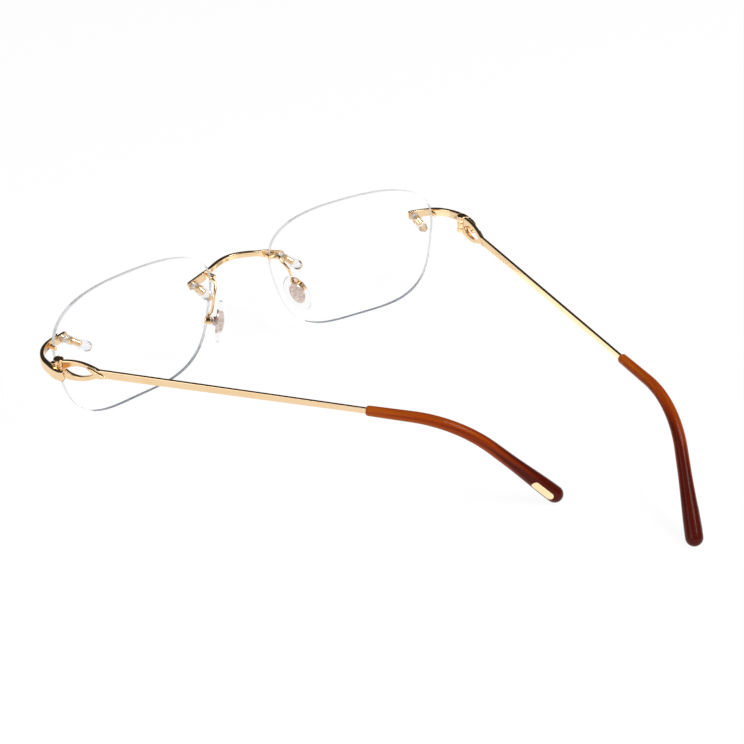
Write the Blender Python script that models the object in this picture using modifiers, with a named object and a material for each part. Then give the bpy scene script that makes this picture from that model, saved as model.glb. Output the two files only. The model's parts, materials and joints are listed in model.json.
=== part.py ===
"""Rimless eyeglasses, modelled at real size in metres.

The glasses stand as on a table: on the lower edges of both lenses and on both temple tips.
+X is the wearer's left, +Y points back along the temples and +Z is up. The wearer's left temple
is half folded and the right one is open, each on the vertical axis of its own three-knuckle hinge.

Every left-hand piece is built once in its own local frame. The right-hand piece is its mirror
image, placed by the mirrored frame.
"""

import math

import bmesh
import bpy
from mathutils import Matrix, Vector

MM = 0.001
DEG = math.pi / 180.0

# Lenses: a rounded, slightly trapezoid outline cut from a curved blank.
LENS_WIDTH = 53.0 * MM
LENS_HEIGHT = 36.7 * MM
LENS_THICKNESS = 1.9 * MM
LENS_CURVE = 120.0 * MM
BRIDGE_GAP = 20.5 * MM
TOP_SQUARENESS = 2.95
BOTTOM_SQUARENESS = 3.3
TOP_WIDENING = 0.149
TOP_SHIFT = 0.84 * MM
OUTLINE_POINTS = 72

# How the front is bent: each lens turns back at its temporal side, and the front leans forward.
WRAP = 7.2 * DEG
FRONT_LEAN = 7.2 * DEG

# Drilled mounts, in from the lens's widest edge and up from its centre.
OUTER_HOLE_INSET = 5.3 * MM
OUTER_HOLE_RISE = 7.2 * MM
INNER_HOLE_INSET = 4.2 * MM
INNER_HOLE_RISE = 6.6 * MM
LENS_SCREW_DIAMETER = 1.3 * MM
LENS_SCREW_HEAD = 2.1 * MM
LENS_SCREW_HEAD_RISE = 0.45 * MM
LENS_SCREW_REACH = 5.6 * MM
WASHER_DIAMETER = 2.7 * MM
WASHER_THICKNESS = 0.3 * MM
NUT_ACROSS_FLATS = 2.1 * MM
NUT_HEIGHT = 1.2 * MM
CAP_DIAMETER = 2.7 * MM
CAP_LENGTH = 5.6 * MM
CAP_TIP = 8.6 * MM
CAP_WALL = 0.5 * MM

# The bridge, and the plates that it and the endpieces lay against the lenses.
PLATE_HEIGHT = 2.6 * MM
PLATE_THICKNESS = 0.9 * MM
PLATE_OVERRUN = 1.5 * MM
BRIDGE_HEIGHT = 1.6 * MM
BRIDGE_THICKNESS = 1.2 * MM
BRIDGE_CROWN_FORWARD = 5.4 * MM
BRIDGE_CROWN_RISE = 9.2 * MM
BRIDGE_PLATE_SLOPE = 22.0 * DEG
BRIDGE_PLATE_MARGIN = 0.8 * MM
CLAW_HEIGHT = 1.2 * MM
CLAW_THICKNESS = 0.75 * MM

# Endpieces: a strip from the lens plate round to the hinge, lapping over the barrel.
ENDPIECE_HEIGHT = 2.3 * MM
ENDPIECE_HINGE_HEIGHT = 2.9 * MM
ENDPIECE_THICKNESS = 1.15 * MM
ENDPIECE_HINGE_THICKNESS = 1.75 * MM
ENDPIECE_BEND_MARGIN = 2.1 * MM
ENDPIECE_LAP = 4.3 * MM
ENDPIECE_LAP_RADIUS = 8.6 * MM

# Hinges, measured outwards and back from the lens's temporal edge and up from its centre.
HINGE_OUTBOARD = 2.86 * MM
HINGE_BEHIND_EDGE = 9.05 * MM
HINGE_RISE = 7.8 * MM
KNUCKLE_DIAMETER = 2.6 * MM
MIDDLE_KNUCKLE = 1.7 * MM
BARREL_TOP = 2.25 * MM
BARREL_BOTTOM = -2.3 * MM
HINGE_SCREW_DIAMETER = 1.2 * MM
HINGE_SCREW_HEAD = 2.8 * MM
HINGE_SCREW_HEAD_RISE = 0.6 * MM
LEFT_FOLD = 40.5 * DEG
OPEN_FOLD = 7.4 * DEG

# Temples: an almond eyelet, a tapering flat bar and a wire core inside the tip.
EYELET_LENGTH = 17.0 * MM
EYELET_END = 12.6 * MM
EYELET_HEIGHT = 5.9 * MM
EYELET_OPENING_START = 1.9 * MM
EYELET_OPENING_LENGTH = 7.8 * MM
EYELET_OPENING_HEIGHT = 3.2 * MM
EYELET_THICKNESS = 1.15 * MM
BAR_OFFSET = 0.2 * MM
BAR_THICKNESS = 1.0 * MM
BAR_END_THICKNESS = 0.84 * MM
BAR_HEIGHT = 2.35 * MM
BAR_END_HEIGHT = 1.6 * MM
BAR_IN_TIP = 2.0 * MM
BAR_SWELL = 0.06 * MM
BAR_RUN_IN = 6.0 * MM
BAR_RUN_OUT = 2.0 * MM
CORE_DIAMETER = 1.05 * MM
CORE_END = 127.0 * MM

# Temple tips, along the temple from the hinge.
TIP_START = 81.9 * MM
BEND_START = 93.8 * MM
BEND_RADIUS = 28.7 * MM
BEND_ANGLE = 44.8 * DEG
TAIL_LEAN = 0.36
TIP_START_DIAMETER = 2.7 * MM
TIP_MIDDLE = 120.0 * MM
TIP_MIDDLE_DIAMETER = 3.5 * MM
TIP_END_DIAMETER = 4.6 * MM
INLAY_LENGTH = 7.0 * MM
INLAY_WIDTH = 2.1 * MM
INLAY_DEPTH = 0.5 * MM
INLAY_FROM_END = 6.6 * MM

# Nose pads: the pad screw, measured from the middle of the lens's nasal edge, and the pad's angles.
PAD_OUTBOARD = 5.05 * MM
PAD_BACK = 6.6 * MM
PAD_DROP = 0.3 * MM
PAD_SPLAY = 35.8 * DEG
PAD_FLARE = -6.0 * DEG
PAD_LEAN = 21.0 * DEG
PAD_STEM = 2.5 * MM
PAD_LENGTH = 11.8 * MM
PAD_WIDTH = 7.4 * MM
PAD_THICKNESS = 3.2 * MM
CORE_PLATE_LENGTH = 6.5 * MM
CORE_PLATE_WIDTH = 4.0 * MM
CORE_PLATE_THICKNESS = 0.6 * MM
PAD_BOX_LENGTH = 2.0 * MM
PAD_BOX_RISE = 0.8 * MM
PAD_BOX_FLOOR = 0.5 * MM
PAD_BOX_WALL = 0.45 * MM
PAD_TAB_THICKNESS = 0.8 * MM
PAD_TAB_LENGTH = 1.3 * MM
PAD_SCREW_DIAMETER = 0.8 * MM
PAD_SCREW_HEAD = 1.3 * MM
PAD_SCREW_HEAD_RISE = 0.3 * MM
PAD_ARM_DIAMETER = 0.85 * MM
PAD_ARM_ARCH = 2.8 * MM

# Clearances: a piece seated on another, a turning fit, and the open temple against its stop.
SEAT_GAP = 0.05 * MM
RUNNING_GAP = 0.06 * MM
STOP_GAP = 0.1 * MM

# Places that follow from the sizes above.
LENS_CENTRE = BRIDGE_GAP / 2 + LENS_WIDTH / 2
OUTER_HOLE = (LENS_WIDTH / 2 - OUTER_HOLE_INSET, OUTER_HOLE_RISE)
INNER_HOLE = (INNER_HOLE_INSET - LENS_WIDTH / 2, INNER_HOLE_RISE)
HINGE_HALF_SPAN = LENS_CENTRE + LENS_WIDTH / 2 * math.cos(WRAP) + HINGE_OUTBOARD
HINGE_BACK = (LENS_WIDTH / 2 * math.sin(WRAP) + (LENS_WIDTH / 2) ** 2 / (2 * LENS_CURVE)
              + HINGE_BEHIND_EDGE)
PAD_PIVOT = (BRIDGE_GAP / 2 + PAD_OUTBOARD, PAD_BACK, -PAD_DROP)
MIRROR = Matrix.Diagonal((-1.0, 1.0, 1.0, 1.0))


# ---------------------------------------------------------------- scene and materials

def clear_scene():
    for item in list(bpy.data.objects):
        bpy.data.objects.remove(item, do_unlink=True)


def new_collection(name):
    group = bpy.data.collections.new(name)
    bpy.context.scene.collection.children.link(group)
    return group


def new_material(name, colour, roughness, metallic=0.0, alpha=1.0):
    finish = bpy.data.materials.new(name)
    finish.use_nodes = True
    shader = finish.node_tree.nodes["Principled BSDF"]
    shader.inputs["Base Color"].default_value = (*colour, 1.0)
    shader.inputs["Roughness"].default_value = roughness
    shader.inputs["Metallic"].default_value = metallic
    shader.inputs["Alpha"].default_value = alpha
    return finish


clear_scene()
PARTS = new_collection("rimless_eyeglasses")

GOLD = new_material("pale_gold_plate", (0.83, 0.60, 0.33), 0.16, 1.0)
LENS_CLEAR = new_material("clear_lens", (0.93, 0.96, 0.97), 0.03, 0.0, 0.2)
NYLON = new_material("clear_nylon", (0.90, 0.90, 0.92), 0.12, 0.0, 0.4)
SILICONE = new_material("clear_silicone", (0.93, 0.92, 0.93), 0.25, 0.0, 0.4)
PINK_GOLD = new_material("pink_gold_core", (0.78, 0.62, 0.55), 0.3, 1.0)
HORN = new_material("brown_acetate", (0.26, 0.06, 0.02), 0.18)


# ---------------------------------------------------------------- small modelling tools

def make_object(name, mesh):
    item = bpy.data.objects.new(name, mesh)
    bpy.context.scene.collection.objects.link(item)
    return item


def mesh_from(bm, name):
    mesh = bpy.data.meshes.new(name)
    bm.to_mesh(mesh)
    bm.free()
    return mesh


def baked(item):
    """The object's evaluated mesh, welded and facing out, with the object removed."""
    bpy.context.view_layer.update()
    graph = bpy.context.evaluated_depsgraph_get()
    mesh = bpy.data.meshes.new_from_object(item.evaluated_get(graph), depsgraph=graph)
    bm = bmesh.new()
    bm.from_mesh(mesh)
    bm.transform(item.matrix_world)
    bmesh.ops.remove_doubles(bm, verts=bm.verts, dist=0.0005 * MM)
    bmesh.ops.recalc_face_normals(bm, faces=bm.faces)
    bpy.data.objects.remove(item, do_unlink=True)
    return mesh_from(bm, mesh.name)


def combined(mesh, other, operation):
    """mesh joined with, or cut by, another mesh in the same frame."""
    body = make_object("body", mesh)
    tool = make_object("tool", other)
    step = body.modifiers.new(operation.lower(), "BOOLEAN")
    step.operation = operation
    step.object = tool
    result = baked(body)
    bpy.data.objects.remove(tool, do_unlink=True)
    return result


def joined(*meshes):
    result = meshes[0]
    for other in meshes[1:]:
        result = combined(result, other, "UNION")
    return result


def cut(mesh, *cutters):
    for cutter in cutters:
        mesh = combined(mesh, cutter, "DIFFERENCE")
    return mesh


def moved(mesh, matrix):
    copy = mesh.copy()
    copy.transform(matrix)
    return copy


def turned(profile, sides):
    """A solid of revolution about Z from (radius, height) points, top to bottom."""
    bm = bmesh.new()
    rim = [bm.verts.new((radius, 0.0, height)) for radius, height in profile]
    for first, second in zip(rim, rim[1:]):
        bm.edges.new((first, second))
    if profile[0][0] > 0.0:
        bm.edges.new((rim[-1], rim[0]))
    item = make_object("turned", mesh_from(bm, "turned"))
    screw = item.modifiers.new("turn", "SCREW")
    screw.steps = sides
    screw.render_steps = sides
    screw.use_merge_vertices = True
    screw.merge_threshold = 0.001 * MM
    return baked(item)


def rod(diameter, low, high, sides=24):
    return turned([(0.0, high), (diameter / 2, high), (diameter / 2, low), (0.0, low)], sides)


def block(low, high):
    bm = bmesh.new()
    bmesh.ops.create_cube(bm, size=1.0)
    size = [top - bottom for bottom, top in zip(low, high)]
    middle = [(top + bottom) / 2 for bottom, top in zip(low, high)]
    bmesh.ops.transform(bm, matrix=Matrix.Diagonal((*size, 1.0)), verts=bm.verts)
    bmesh.ops.translate(bm, vec=middle, verts=bm.verts)
    return mesh_from(bm, "block")


def flat_plate(outlines, thickness):
    """Closed outlines in the XY plane, holes among them, filled and given a thickness."""
    curve = bpy.data.curves.new("outline", "CURVE")
    curve.dimensions = "2D"
    curve.fill_mode = "BOTH"
    curve.extrude = thickness / 2
    for outline in outlines:
        spline = curve.splines.new("POLY")
        spline.points.add(len(outline) - 1)
        for point, (x, y) in zip(spline.points, outline):
            point.co = (x, y, 0.0, 1.0)
        spline.use_cyclic_u = True
    return baked(make_object("plate", curve))


def wire(points, diameter):
    """A round wire with flat ends through the given points."""
    curve = bpy.data.curves.new("wire", "CURVE")
    curve.dimensions = "3D"
    curve.bevel_depth = diameter / 2
    curve.bevel_resolution = 2
    curve.use_fill_caps = True
    spline = curve.splines.new("POLY")
    spline.points.add(len(points) - 1)
    for point, place in zip(spline.points, points):
        point.co = (*place, 1.0)
    return baked(make_object("wire", curve))


def loft(rings):
    """A closed solid through rings of points that all have the same count."""
    bm = bmesh.new()
    loops = [[bm.verts.new(point) for point in ring] for ring in rings]
    for near, far in zip(loops, loops[1:]):
        for i in range(len(near)):
            j = (i + 1) % len(near)
            bm.faces.new((near[i], near[j], far[j], far[i]))
    bm.faces.new(loops[0])
    bm.faces.new(loops[-1])
    bmesh.ops.recalc_face_normals(bm, faces=bm.faces)
    return mesh_from(bm, "loft")


def bar_ring(place, up, out, height, thickness):
    """An octagonal ring: a flat bar's section with its long edges chamfered."""
    chamfer = 0.22 * min(height, thickness)
    half_up, half_out = height / 2, thickness / 2
    corners = []
    for sign_up, sign_out in ((1, 1), (1, -1), (-1, -1), (-1, 1)):
        flat = (sign_up * half_up, sign_out * (half_out - chamfer))
        side = (sign_up * (half_up - chamfer), sign_out * half_out)
        first_flat = sign_up != sign_out
        corners += [flat, side] if first_flat else [side, flat]
    return [place + up * a + out * b for a, b in corners]


def round_ring(place, up, out, radius, sides):
    ring = []
    for i in range(sides):
        turn = 2 * math.pi * i / sides
        ring.append(place + up * (radius * math.cos(turn)) + out * (radius * math.sin(turn)))
    return ring


def axes(origin, x_axis, y_axis, z_axis):
    matrix = Matrix((x_axis, y_axis, z_axis)).transposed().to_4x4()
    matrix.translation = origin
    return matrix


def smooth_points(points, steps):
    """Points on a smooth curve through the given points."""
    spread = []
    for i in range(len(points) - 1):
        before = points[max(i - 1, 0)]
        start, end = points[i], points[i + 1]
        after = points[min(i + 2, len(points) - 1)]
        for k in range(steps):
            t = k / steps
            spread.append(0.5 * (2 * start + (end - before) * t
                                 + (2 * before - 5 * start + 4 * end - after) * t ** 2
                                 + (3 * start - before - 3 * end + after) * t ** 3))
    return spread + [points[-1]]


def blend(start, end, share):
    """From start to end along an S-shaped ramp, for share from 0 to 1."""
    share = min(max(share, 0.0), 1.0)
    return start + (end - start) * share * share * (3 - 2 * share)


# ---------------------------------------------------------------- frames of the front

def lens_outline():
    """The lens edge as (towards the temple, up) points."""
    points = []
    for i in range(OUTLINE_POINTS):
        turn = 2 * math.pi * (i + 0.5) / OUTLINE_POINTS
        across, up = math.cos(turn), math.sin(turn)
        power = 2.0 / (TOP_SQUARENESS if up > 0 else BOTTOM_SQUARENESS)
        rise = math.copysign(abs(up) ** power, up)
        reach = math.copysign(abs(across) ** power, across) * (1 + TOP_WIDENING * rise)
        points.append((reach * LENS_WIDTH / 2 - TOP_SHIFT * rise, rise * LENS_HEIGHT / 2))
    widest = max(u for u, v in points) - min(u for u, v in points)
    return [(u * LENS_WIDTH / widest, v) for u, v in points]


OUTLINE = lens_outline()

# Lens frame: X towards the temple, Y up, Z forward, with the lens's middle surface through it.
LENS_FRAME = axes(
    Vector((LENS_CENTRE, 0.0, 0.0)),
    Vector((math.cos(WRAP), math.sin(WRAP), 0.0)),
    Vector((0.0, 0.0, 1.0)),
    Vector((math.sin(WRAP), -math.cos(WRAP), 0.0)),
)


def lens_surface(u, v, forward=0.0):
    """The point at (u, v) on the lens's middle surface, or on one so far in front of it."""
    return Vector((u, v, math.sqrt((LENS_CURVE + forward) ** 2 - u * u - v * v) - LENS_CURVE))


def hole_frame(hole):
    """Frame of a drilled hole: Z forward along the screw, X towards the temple."""
    place = lens_surface(*hole)
    forward = (place - Vector((0.0, 0.0, -LENS_CURVE))).normalized()
    right = Vector((0.0, 1.0, 0.0)).cross(forward).normalized()
    return axes(place, right, forward.cross(right), forward)


def edge_reach(v, towards_temple):
    """How far the lens edge is from its centre at height v, on one side."""
    best = 0.0
    for (u0, v0), (u1, v1) in zip(OUTLINE, OUTLINE[1:] + OUTLINE[:1]):
        if (v0 - v) * (v1 - v) <= 0.0 and v0 != v1:
            u = u0 + (u1 - u0) * (v - v0) / (v1 - v0)
            if (u > 0) == towards_temple:
                best = u
    return best


def standing_height():
    """Height of the lens centres when the tilted lenses stand on their lower edges."""
    lean = Matrix.Rotation(FRONT_LEAN, 4, "X") @ LENS_FRAME
    half = LENS_THICKNESS / 2
    return -min((lean @ lens_surface(u, v, side)).z for u, v in OUTLINE for side in (-half, half))


LENS_MID_HEIGHT = standing_height()
TEMPLE_HEIGHT = LENS_MID_HEIGHT + HINGE_RISE
UPRIGHT = Matrix.Translation((0.0, 0.0, LENS_MID_HEIGHT))
FRONT = UPRIGHT @ Matrix.Rotation(FRONT_LEAN, 4, "X")
OUTER = hole_frame(OUTER_HOLE)
INNER = hole_frame(INNER_HOLE)

# Stack along a lens screw, from the middle of the lens: forwards, then backwards.
LENS_FRONT = LENS_THICKNESS / 2
PLATE_BACK = LENS_FRONT + 2 * SEAT_GAP + WASHER_THICKNESS
PLATE_MID = PLATE_BACK + PLATE_THICKNESS / 2
PLATE_FRONT = PLATE_BACK + PLATE_THICKNESS
LENS_BACK = -LENS_THICKNESS / 2
NUT_FRONT = LENS_BACK - 2 * SEAT_GAP - WASHER_THICKNESS - SEAT_GAP
NUT_BACK = NUT_FRONT - NUT_HEIGHT


def empty(name, matrix, parent=None):
    item = bpy.data.objects.new(name, None)
    item.empty_display_size = 3.0 * MM
    bpy.context.scene.collection.objects.link(item)
    item.parent = parent
    item.matrix_world = matrix
    return item


STAND = empty("stand", Matrix.Identity(4))
FRONT_FRAME = empty("front_frame", FRONT, STAND)
UPRIGHT_FRAME = empty("upright_frame", UPRIGHT, STAND)


def place(name, mesh, finish, frame, parent):
    """A finished piece: its mesh in its own frame, placed by that frame."""
    mesh.name = name
    mesh.materials.clear()
    mesh.materials.append(finish)
    mesh.shade_smooth()
    mesh.set_sharp_from_angle(angle=30 * DEG)
    item = bpy.data.objects.new(name, mesh)
    PARTS.objects.link(item)
    item.parent = parent
    bpy.context.view_layer.update()
    item.matrix_world = parent.matrix_world @ frame
    return item


def mirrored(mesh):
    bm = bmesh.new()
    bm.from_mesh(mesh)
    bm.transform(MIRROR)
    bmesh.ops.reverse_faces(bm, faces=bm.faces)
    return mesh_from(bm, mesh.name)


def place_pair(name, mesh, finish, frame, parents):
    """The left piece and its mirror image, in mirrored frames of their parents."""
    other = mirrored(mesh)
    place("left_" + name, mesh, finish, frame, parents[0])
    place("right_" + name, other, finish, MIRROR @ frame @ MIRROR, parents[1])


BOTH_ON_FRONT = (FRONT_FRAME, FRONT_FRAME)
BOTH_UPRIGHT = (UPRIGHT_FRAME, UPRIGHT_FRAME)


# ---------------------------------------------------------------- lenses and their fixings

def make_lenses():
    """A curved blank cut to the outline and drilled for both screws."""
    rim = LENS_WIDTH * 0.62
    rings = 7
    front, back = [], []
    for i in range(rings + 1):
        radius = rim * i / rings
        point = lens_surface(radius, 0.0, LENS_FRONT)
        front.append((point.x, point.z))
        point = lens_surface(radius, 0.0, LENS_BACK)
        back.append((point.x, point.z))
    blank = turned(front + back[::-1], 48)
    outline = flat_plate([OUTLINE], LENS_CURVE / 4)
    lens = combined(blank, outline, "INTERSECT")
    drill = rod(LENS_SCREW_DIAMETER + 2 * RUNNING_GAP, -LENS_THICKNESS, LENS_THICKNESS)
    lens = cut(lens, moved(drill, OUTER), moved(drill, INNER))
    place_pair("lens", lens, LENS_CLEAR, LENS_FRAME, BOTH_ON_FRONT)


def make_lens_fixings():
    """Screw, two washers, nut and clear cap at each drilled hole."""
    shank = LENS_SCREW_DIAMETER / 2
    head = LENS_SCREW_HEAD / 2
    head_back = PLATE_FRONT + SEAT_GAP
    head_front = head_back + LENS_SCREW_HEAD_RISE
    screw = turned([
        (0.0, head_front), (0.6 * head, head_front - 0.03 * MM), (head, head_back + 0.15 * MM),
        (head, head_back), (shank, head_back), (shank, -LENS_SCREW_REACH), (0.0, -LENS_SCREW_REACH),
    ], 20)
    bore = shank + RUNNING_GAP
    front_washer = turned([
        (bore, LENS_FRONT + SEAT_GAP + WASHER_THICKNESS),
        (WASHER_DIAMETER / 2, LENS_FRONT + SEAT_GAP + WASHER_THICKNESS),
        (WASHER_DIAMETER / 2, LENS_FRONT + SEAT_GAP), (bore, LENS_FRONT + SEAT_GAP),
    ], 20)
    back_washer = turned([
        (bore, LENS_BACK - SEAT_GAP), (WASHER_DIAMETER / 2, LENS_BACK - SEAT_GAP),
        (WASHER_DIAMETER / 2, LENS_BACK - SEAT_GAP - WASHER_THICKNESS),
        (bore, LENS_BACK - SEAT_GAP - WASHER_THICKNESS),
    ], 20)
    nut = cut(
        moved(rod(NUT_ACROSS_FLATS / math.cos(30 * DEG), NUT_BACK, NUT_FRONT, 6),
              Matrix.Rotation(30 * DEG, 4, "Z")),
        rod(2 * bore, NUT_BACK - MM, NUT_FRONT + MM, 18))
    cap_mouth = -(CAP_TIP - CAP_LENGTH)
    cap_radius = CAP_DIAMETER / 2
    hollow_end = -LENS_SCREW_REACH - 4 * SEAT_GAP
    profile = [(bore, cap_mouth), (cap_radius - 0.15 * MM, cap_mouth),
               (cap_radius, cap_mouth - 0.2 * MM)]
    for i in range(7):
        turn = i * 15 * DEG
        profile.append((cap_radius * math.cos(turn) if i < 6 else 0.0,
                        -CAP_TIP + cap_radius * (1 - math.sin(turn))))
    profile += [(0.0, hollow_end), (bore, hollow_end)]
    cap = turned_hollow(profile, 20)
    for corner, hole in (("outer", OUTER), ("inner", INNER)):
        seat = LENS_FRAME @ hole
        for piece, mesh, finish in (("lens_screw", screw, GOLD), ("lens_nut", nut, GOLD),
                                    ("screw_cap", cap, NYLON),
                                    ("front_washer", front_washer, NYLON),
                                    ("back_washer", back_washer, NYLON)):
            place_pair(f"{corner}_{piece}", mesh.copy(), finish, seat, BOTH_ON_FRONT)


def turned_hollow(profile, sides):
    """A turned solid whose outline starts and ends off the axis but touches it between."""
    bm = bmesh.new()
    rings = []
    for radius, height in profile:
        if radius == 0.0:
            rings.append([bm.verts.new((0.0, 0.0, height))])
            continue
        rings.append([bm.verts.new((radius * math.cos(2 * math.pi * i / sides),
                                    radius * math.sin(2 * math.pi * i / sides), height))
                      for i in range(sides)])
    for near, far in zip(rings, rings[1:] + rings[:1]):
        if len(near) == 1 and len(far) == 1:
            continue
        for i in range(sides):
            j = (i + 1) % sides
            corners = [near[i % len(near)], near[j % len(near)],
                       far[j % len(far)], far[i % len(far)]]
            bm.faces.new(list(dict.fromkeys(corners)))
    bmesh.ops.recalc_face_normals(bm, faces=bm.faces)
    return mesh_from(bm, "turned_hollow")


# ---------------------------------------------------------------- bridge and endpieces

def claw(u_edge, v, towards_temple, foot):
    """A tab that passes back over the lens edge, in the lens frame. A foot hooks behind it."""
    side = 1.0 if towards_temple else -1.0
    near = u_edge + side * 2 * SEAT_GAP
    far = near + side * CLAW_THICKNESS
    surface = lens_surface(u_edge, v).z
    front = surface + PLATE_MID
    back = surface + LENS_BACK - 4 * SEAT_GAP
    low, high = v - CLAW_HEIGHT / 2, v + CLAW_HEIGHT / 2
    tab = block((min(near, far), low, back - CLAW_THICKNESS), (max(near, far), high, front))
    if not foot:
        return tab
    inner = near - side * 1.6 * MM
    heel = far - side * 0.1 * MM
    return joined(tab, block((min(heel, inner), low + 0.05 * MM, back - CLAW_THICKNESS + 0.05 * MM),
                             (max(heel, inner), high - 0.05 * MM, back)))


def plate_bore(frame):
    """Room for the lens screw through a mounting plate."""
    bore = LENS_SCREW_DIAMETER + 2 * RUNNING_GAP
    return moved(rod(bore, PLATE_BACK - MM, PLATE_FRONT + MM, 20), frame)


def plate_end(hole, tangent, up, out):
    """Rings of a mounting plate's rounded end, from its tip to the screw."""
    rings = []
    for back, share in ((1.0, 0.45), (0.9, 0.72), (0.7, 0.92), (0.4, 1.0), (0.0, 1.0)):
        rings.append(bar_ring(hole - tangent * PLATE_OVERRUN * back, up, out,
                              PLATE_HEIGHT * share, PLATE_THICKNESS))
    return rings


def bridge_claw_height():
    """Where the bridge's plate crosses the nasal edge of the lens."""
    run = abs(edge_reach(INNER_HOLE[1], False)) - abs(INNER_HOLE[0])
    return INNER_HOLE[1] + run * math.tan(BRIDGE_PLATE_SLOPE)


def make_bridge():
    """Two sloping plates on the lenses, joined by one arched bar over the nose."""
    seat = LENS_FRAME @ INNER
    along = Vector((-math.cos(BRIDGE_PLATE_SLOPE), math.sin(BRIDGE_PLATE_SLOPE), 0.0))
    tangent = (seat.to_3x3() @ along).normalized()
    out = seat.to_3x3() @ Vector((0.0, 0.0, 1.0))
    hole = seat @ Vector((0.0, 0.0, PLATE_MID))
    start = hole + tangent * (INNER_HOLE_INSET - BRIDGE_PLATE_MARGIN)
    crown = Vector((0.0, -BRIDGE_CROWN_FORWARD, BRIDGE_CROWN_RISE))
    forward = Vector((0.0, -1.0, 0.0))
    rings = plate_end(hole, tangent, out.cross(tangent), out)
    reach = (start - crown).length
    steps = 9
    centres = []
    for i in range(steps + 1):
        t = i / steps
        h1, h2 = 2 * t ** 3 - 3 * t ** 2 + 1, t ** 3 - 2 * t ** 2 + t
        h3, h4 = -2 * t ** 3 + 3 * t ** 2, t ** 3 - t ** 2
        centres.append(start * h1 + tangent * reach * h2 + crown * h3
                       + Vector((-reach, 0.0, 0.0)) * h4)
    for i, centre in enumerate(centres):
        share = i / steps
        way = tangent if i == 0 else (centres[min(i + 1, steps)] - centres[i - 1]).normalized()
        if i == steps:
            way = Vector((-1.0, 0.0, 0.0))
        face = out.lerp(forward, share)
        face = (face - way * face.dot(way)).normalized()
        height = blend(PLATE_HEIGHT * 0.92, BRIDGE_HEIGHT, 3 * share)
        thickness = blend(PLATE_THICKNESS, BRIDGE_THICKNESS, 2 * share)
        rings.append(bar_ring(centre, face.cross(way), face, height, thickness))
    mirror = [[MIRROR @ point for point in ring] for ring in rings[:-1]]
    bar = loft(rings + mirror[::-1])
    height = bridge_claw_height()
    hook = moved(claw(edge_reach(height, False), height, False, True), LENS_FRAME)
    bore = plate_bore(seat)
    body = cut(joined(bar, hook, mirrored(hook)), bore, mirrored(bore))
    place("bridge", body, GOLD, Matrix.Identity(4), FRONT_FRAME)


def hinge_point():
    """The left hinge axis at the height of the temple bar, in the upright frame."""
    return Vector((HINGE_HALF_SPAN, HINGE_BACK, HINGE_RISE))


def endpiece_path():
    """Stations of the strip: centre, direction, outward normal and share of the way."""
    seat = Matrix.Rotation(FRONT_LEAN, 4, "X") @ LENS_FRAME @ OUTER
    tangent = seat.to_3x3() @ Vector((1.0, 0.0, 0.0))
    out = seat.to_3x3() @ Vector((0.0, 0.0, 1.0))
    hole = seat @ Vector((0.0, 0.0, PLATE_MID))
    bend = hole + tangent * (OUTER_HOLE_INSET - ENDPIECE_BEND_MARGIN)
    heading = math.atan2(tangent.y, tangent.x)
    line = HINGE_HALF_SPAN + (KNUCKLE_DIAMETER + ENDPIECE_HINGE_THICKNESS) / 2
    radius = (line - bend.x) / (1 - math.sin(heading))
    stations = [(bend, tangent, out, 0.12)]
    arc = radius * (math.pi / 2 - heading)
    lap_turn = ENDPIECE_LAP / ENDPIECE_LAP_RADIUS
    turn_end = bend + Vector((radius * (1 - math.sin(heading)), radius * math.cos(heading), 0.0))
    straight = max(HINGE_BACK - turn_end.y, 0.0)
    total = arc + straight + ENDPIECE_LAP
    steps = 8
    for i in range(1, steps + 1):
        angle = heading + (math.pi / 2 - heading) * i / steps
        spot = bend + Vector((radius * (math.sin(angle) - math.sin(heading)),
                              radius * (math.cos(heading) - math.cos(angle)), 0.0))
        share = arc * i / steps / total
        stations.append((spot, Vector((math.cos(angle), math.sin(angle), 0.0)),
                         Vector((math.sin(angle), -math.cos(angle), 0.0)), share))
    for i in range(1, 5):
        angle = math.pi / 2 + lap_turn * i / 4
        spot = turn_end + Vector((-ENDPIECE_LAP_RADIUS * (1 - math.sin(angle)),
                                  straight - ENDPIECE_LAP_RADIUS * math.cos(angle), 0.0))
        share = (arc + straight + ENDPIECE_LAP * i / 4) / total
        stations.append((spot, Vector((math.cos(angle), math.sin(angle), 0.0)),
                         Vector((math.sin(angle), -math.cos(angle), 0.0)), share))
    return hole, [(Vector((spot.x, spot.y, blend(bend.z, HINGE_RISE, share * 1.3))),
                   way, face, share) for spot, way, face, share in stations]


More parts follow.
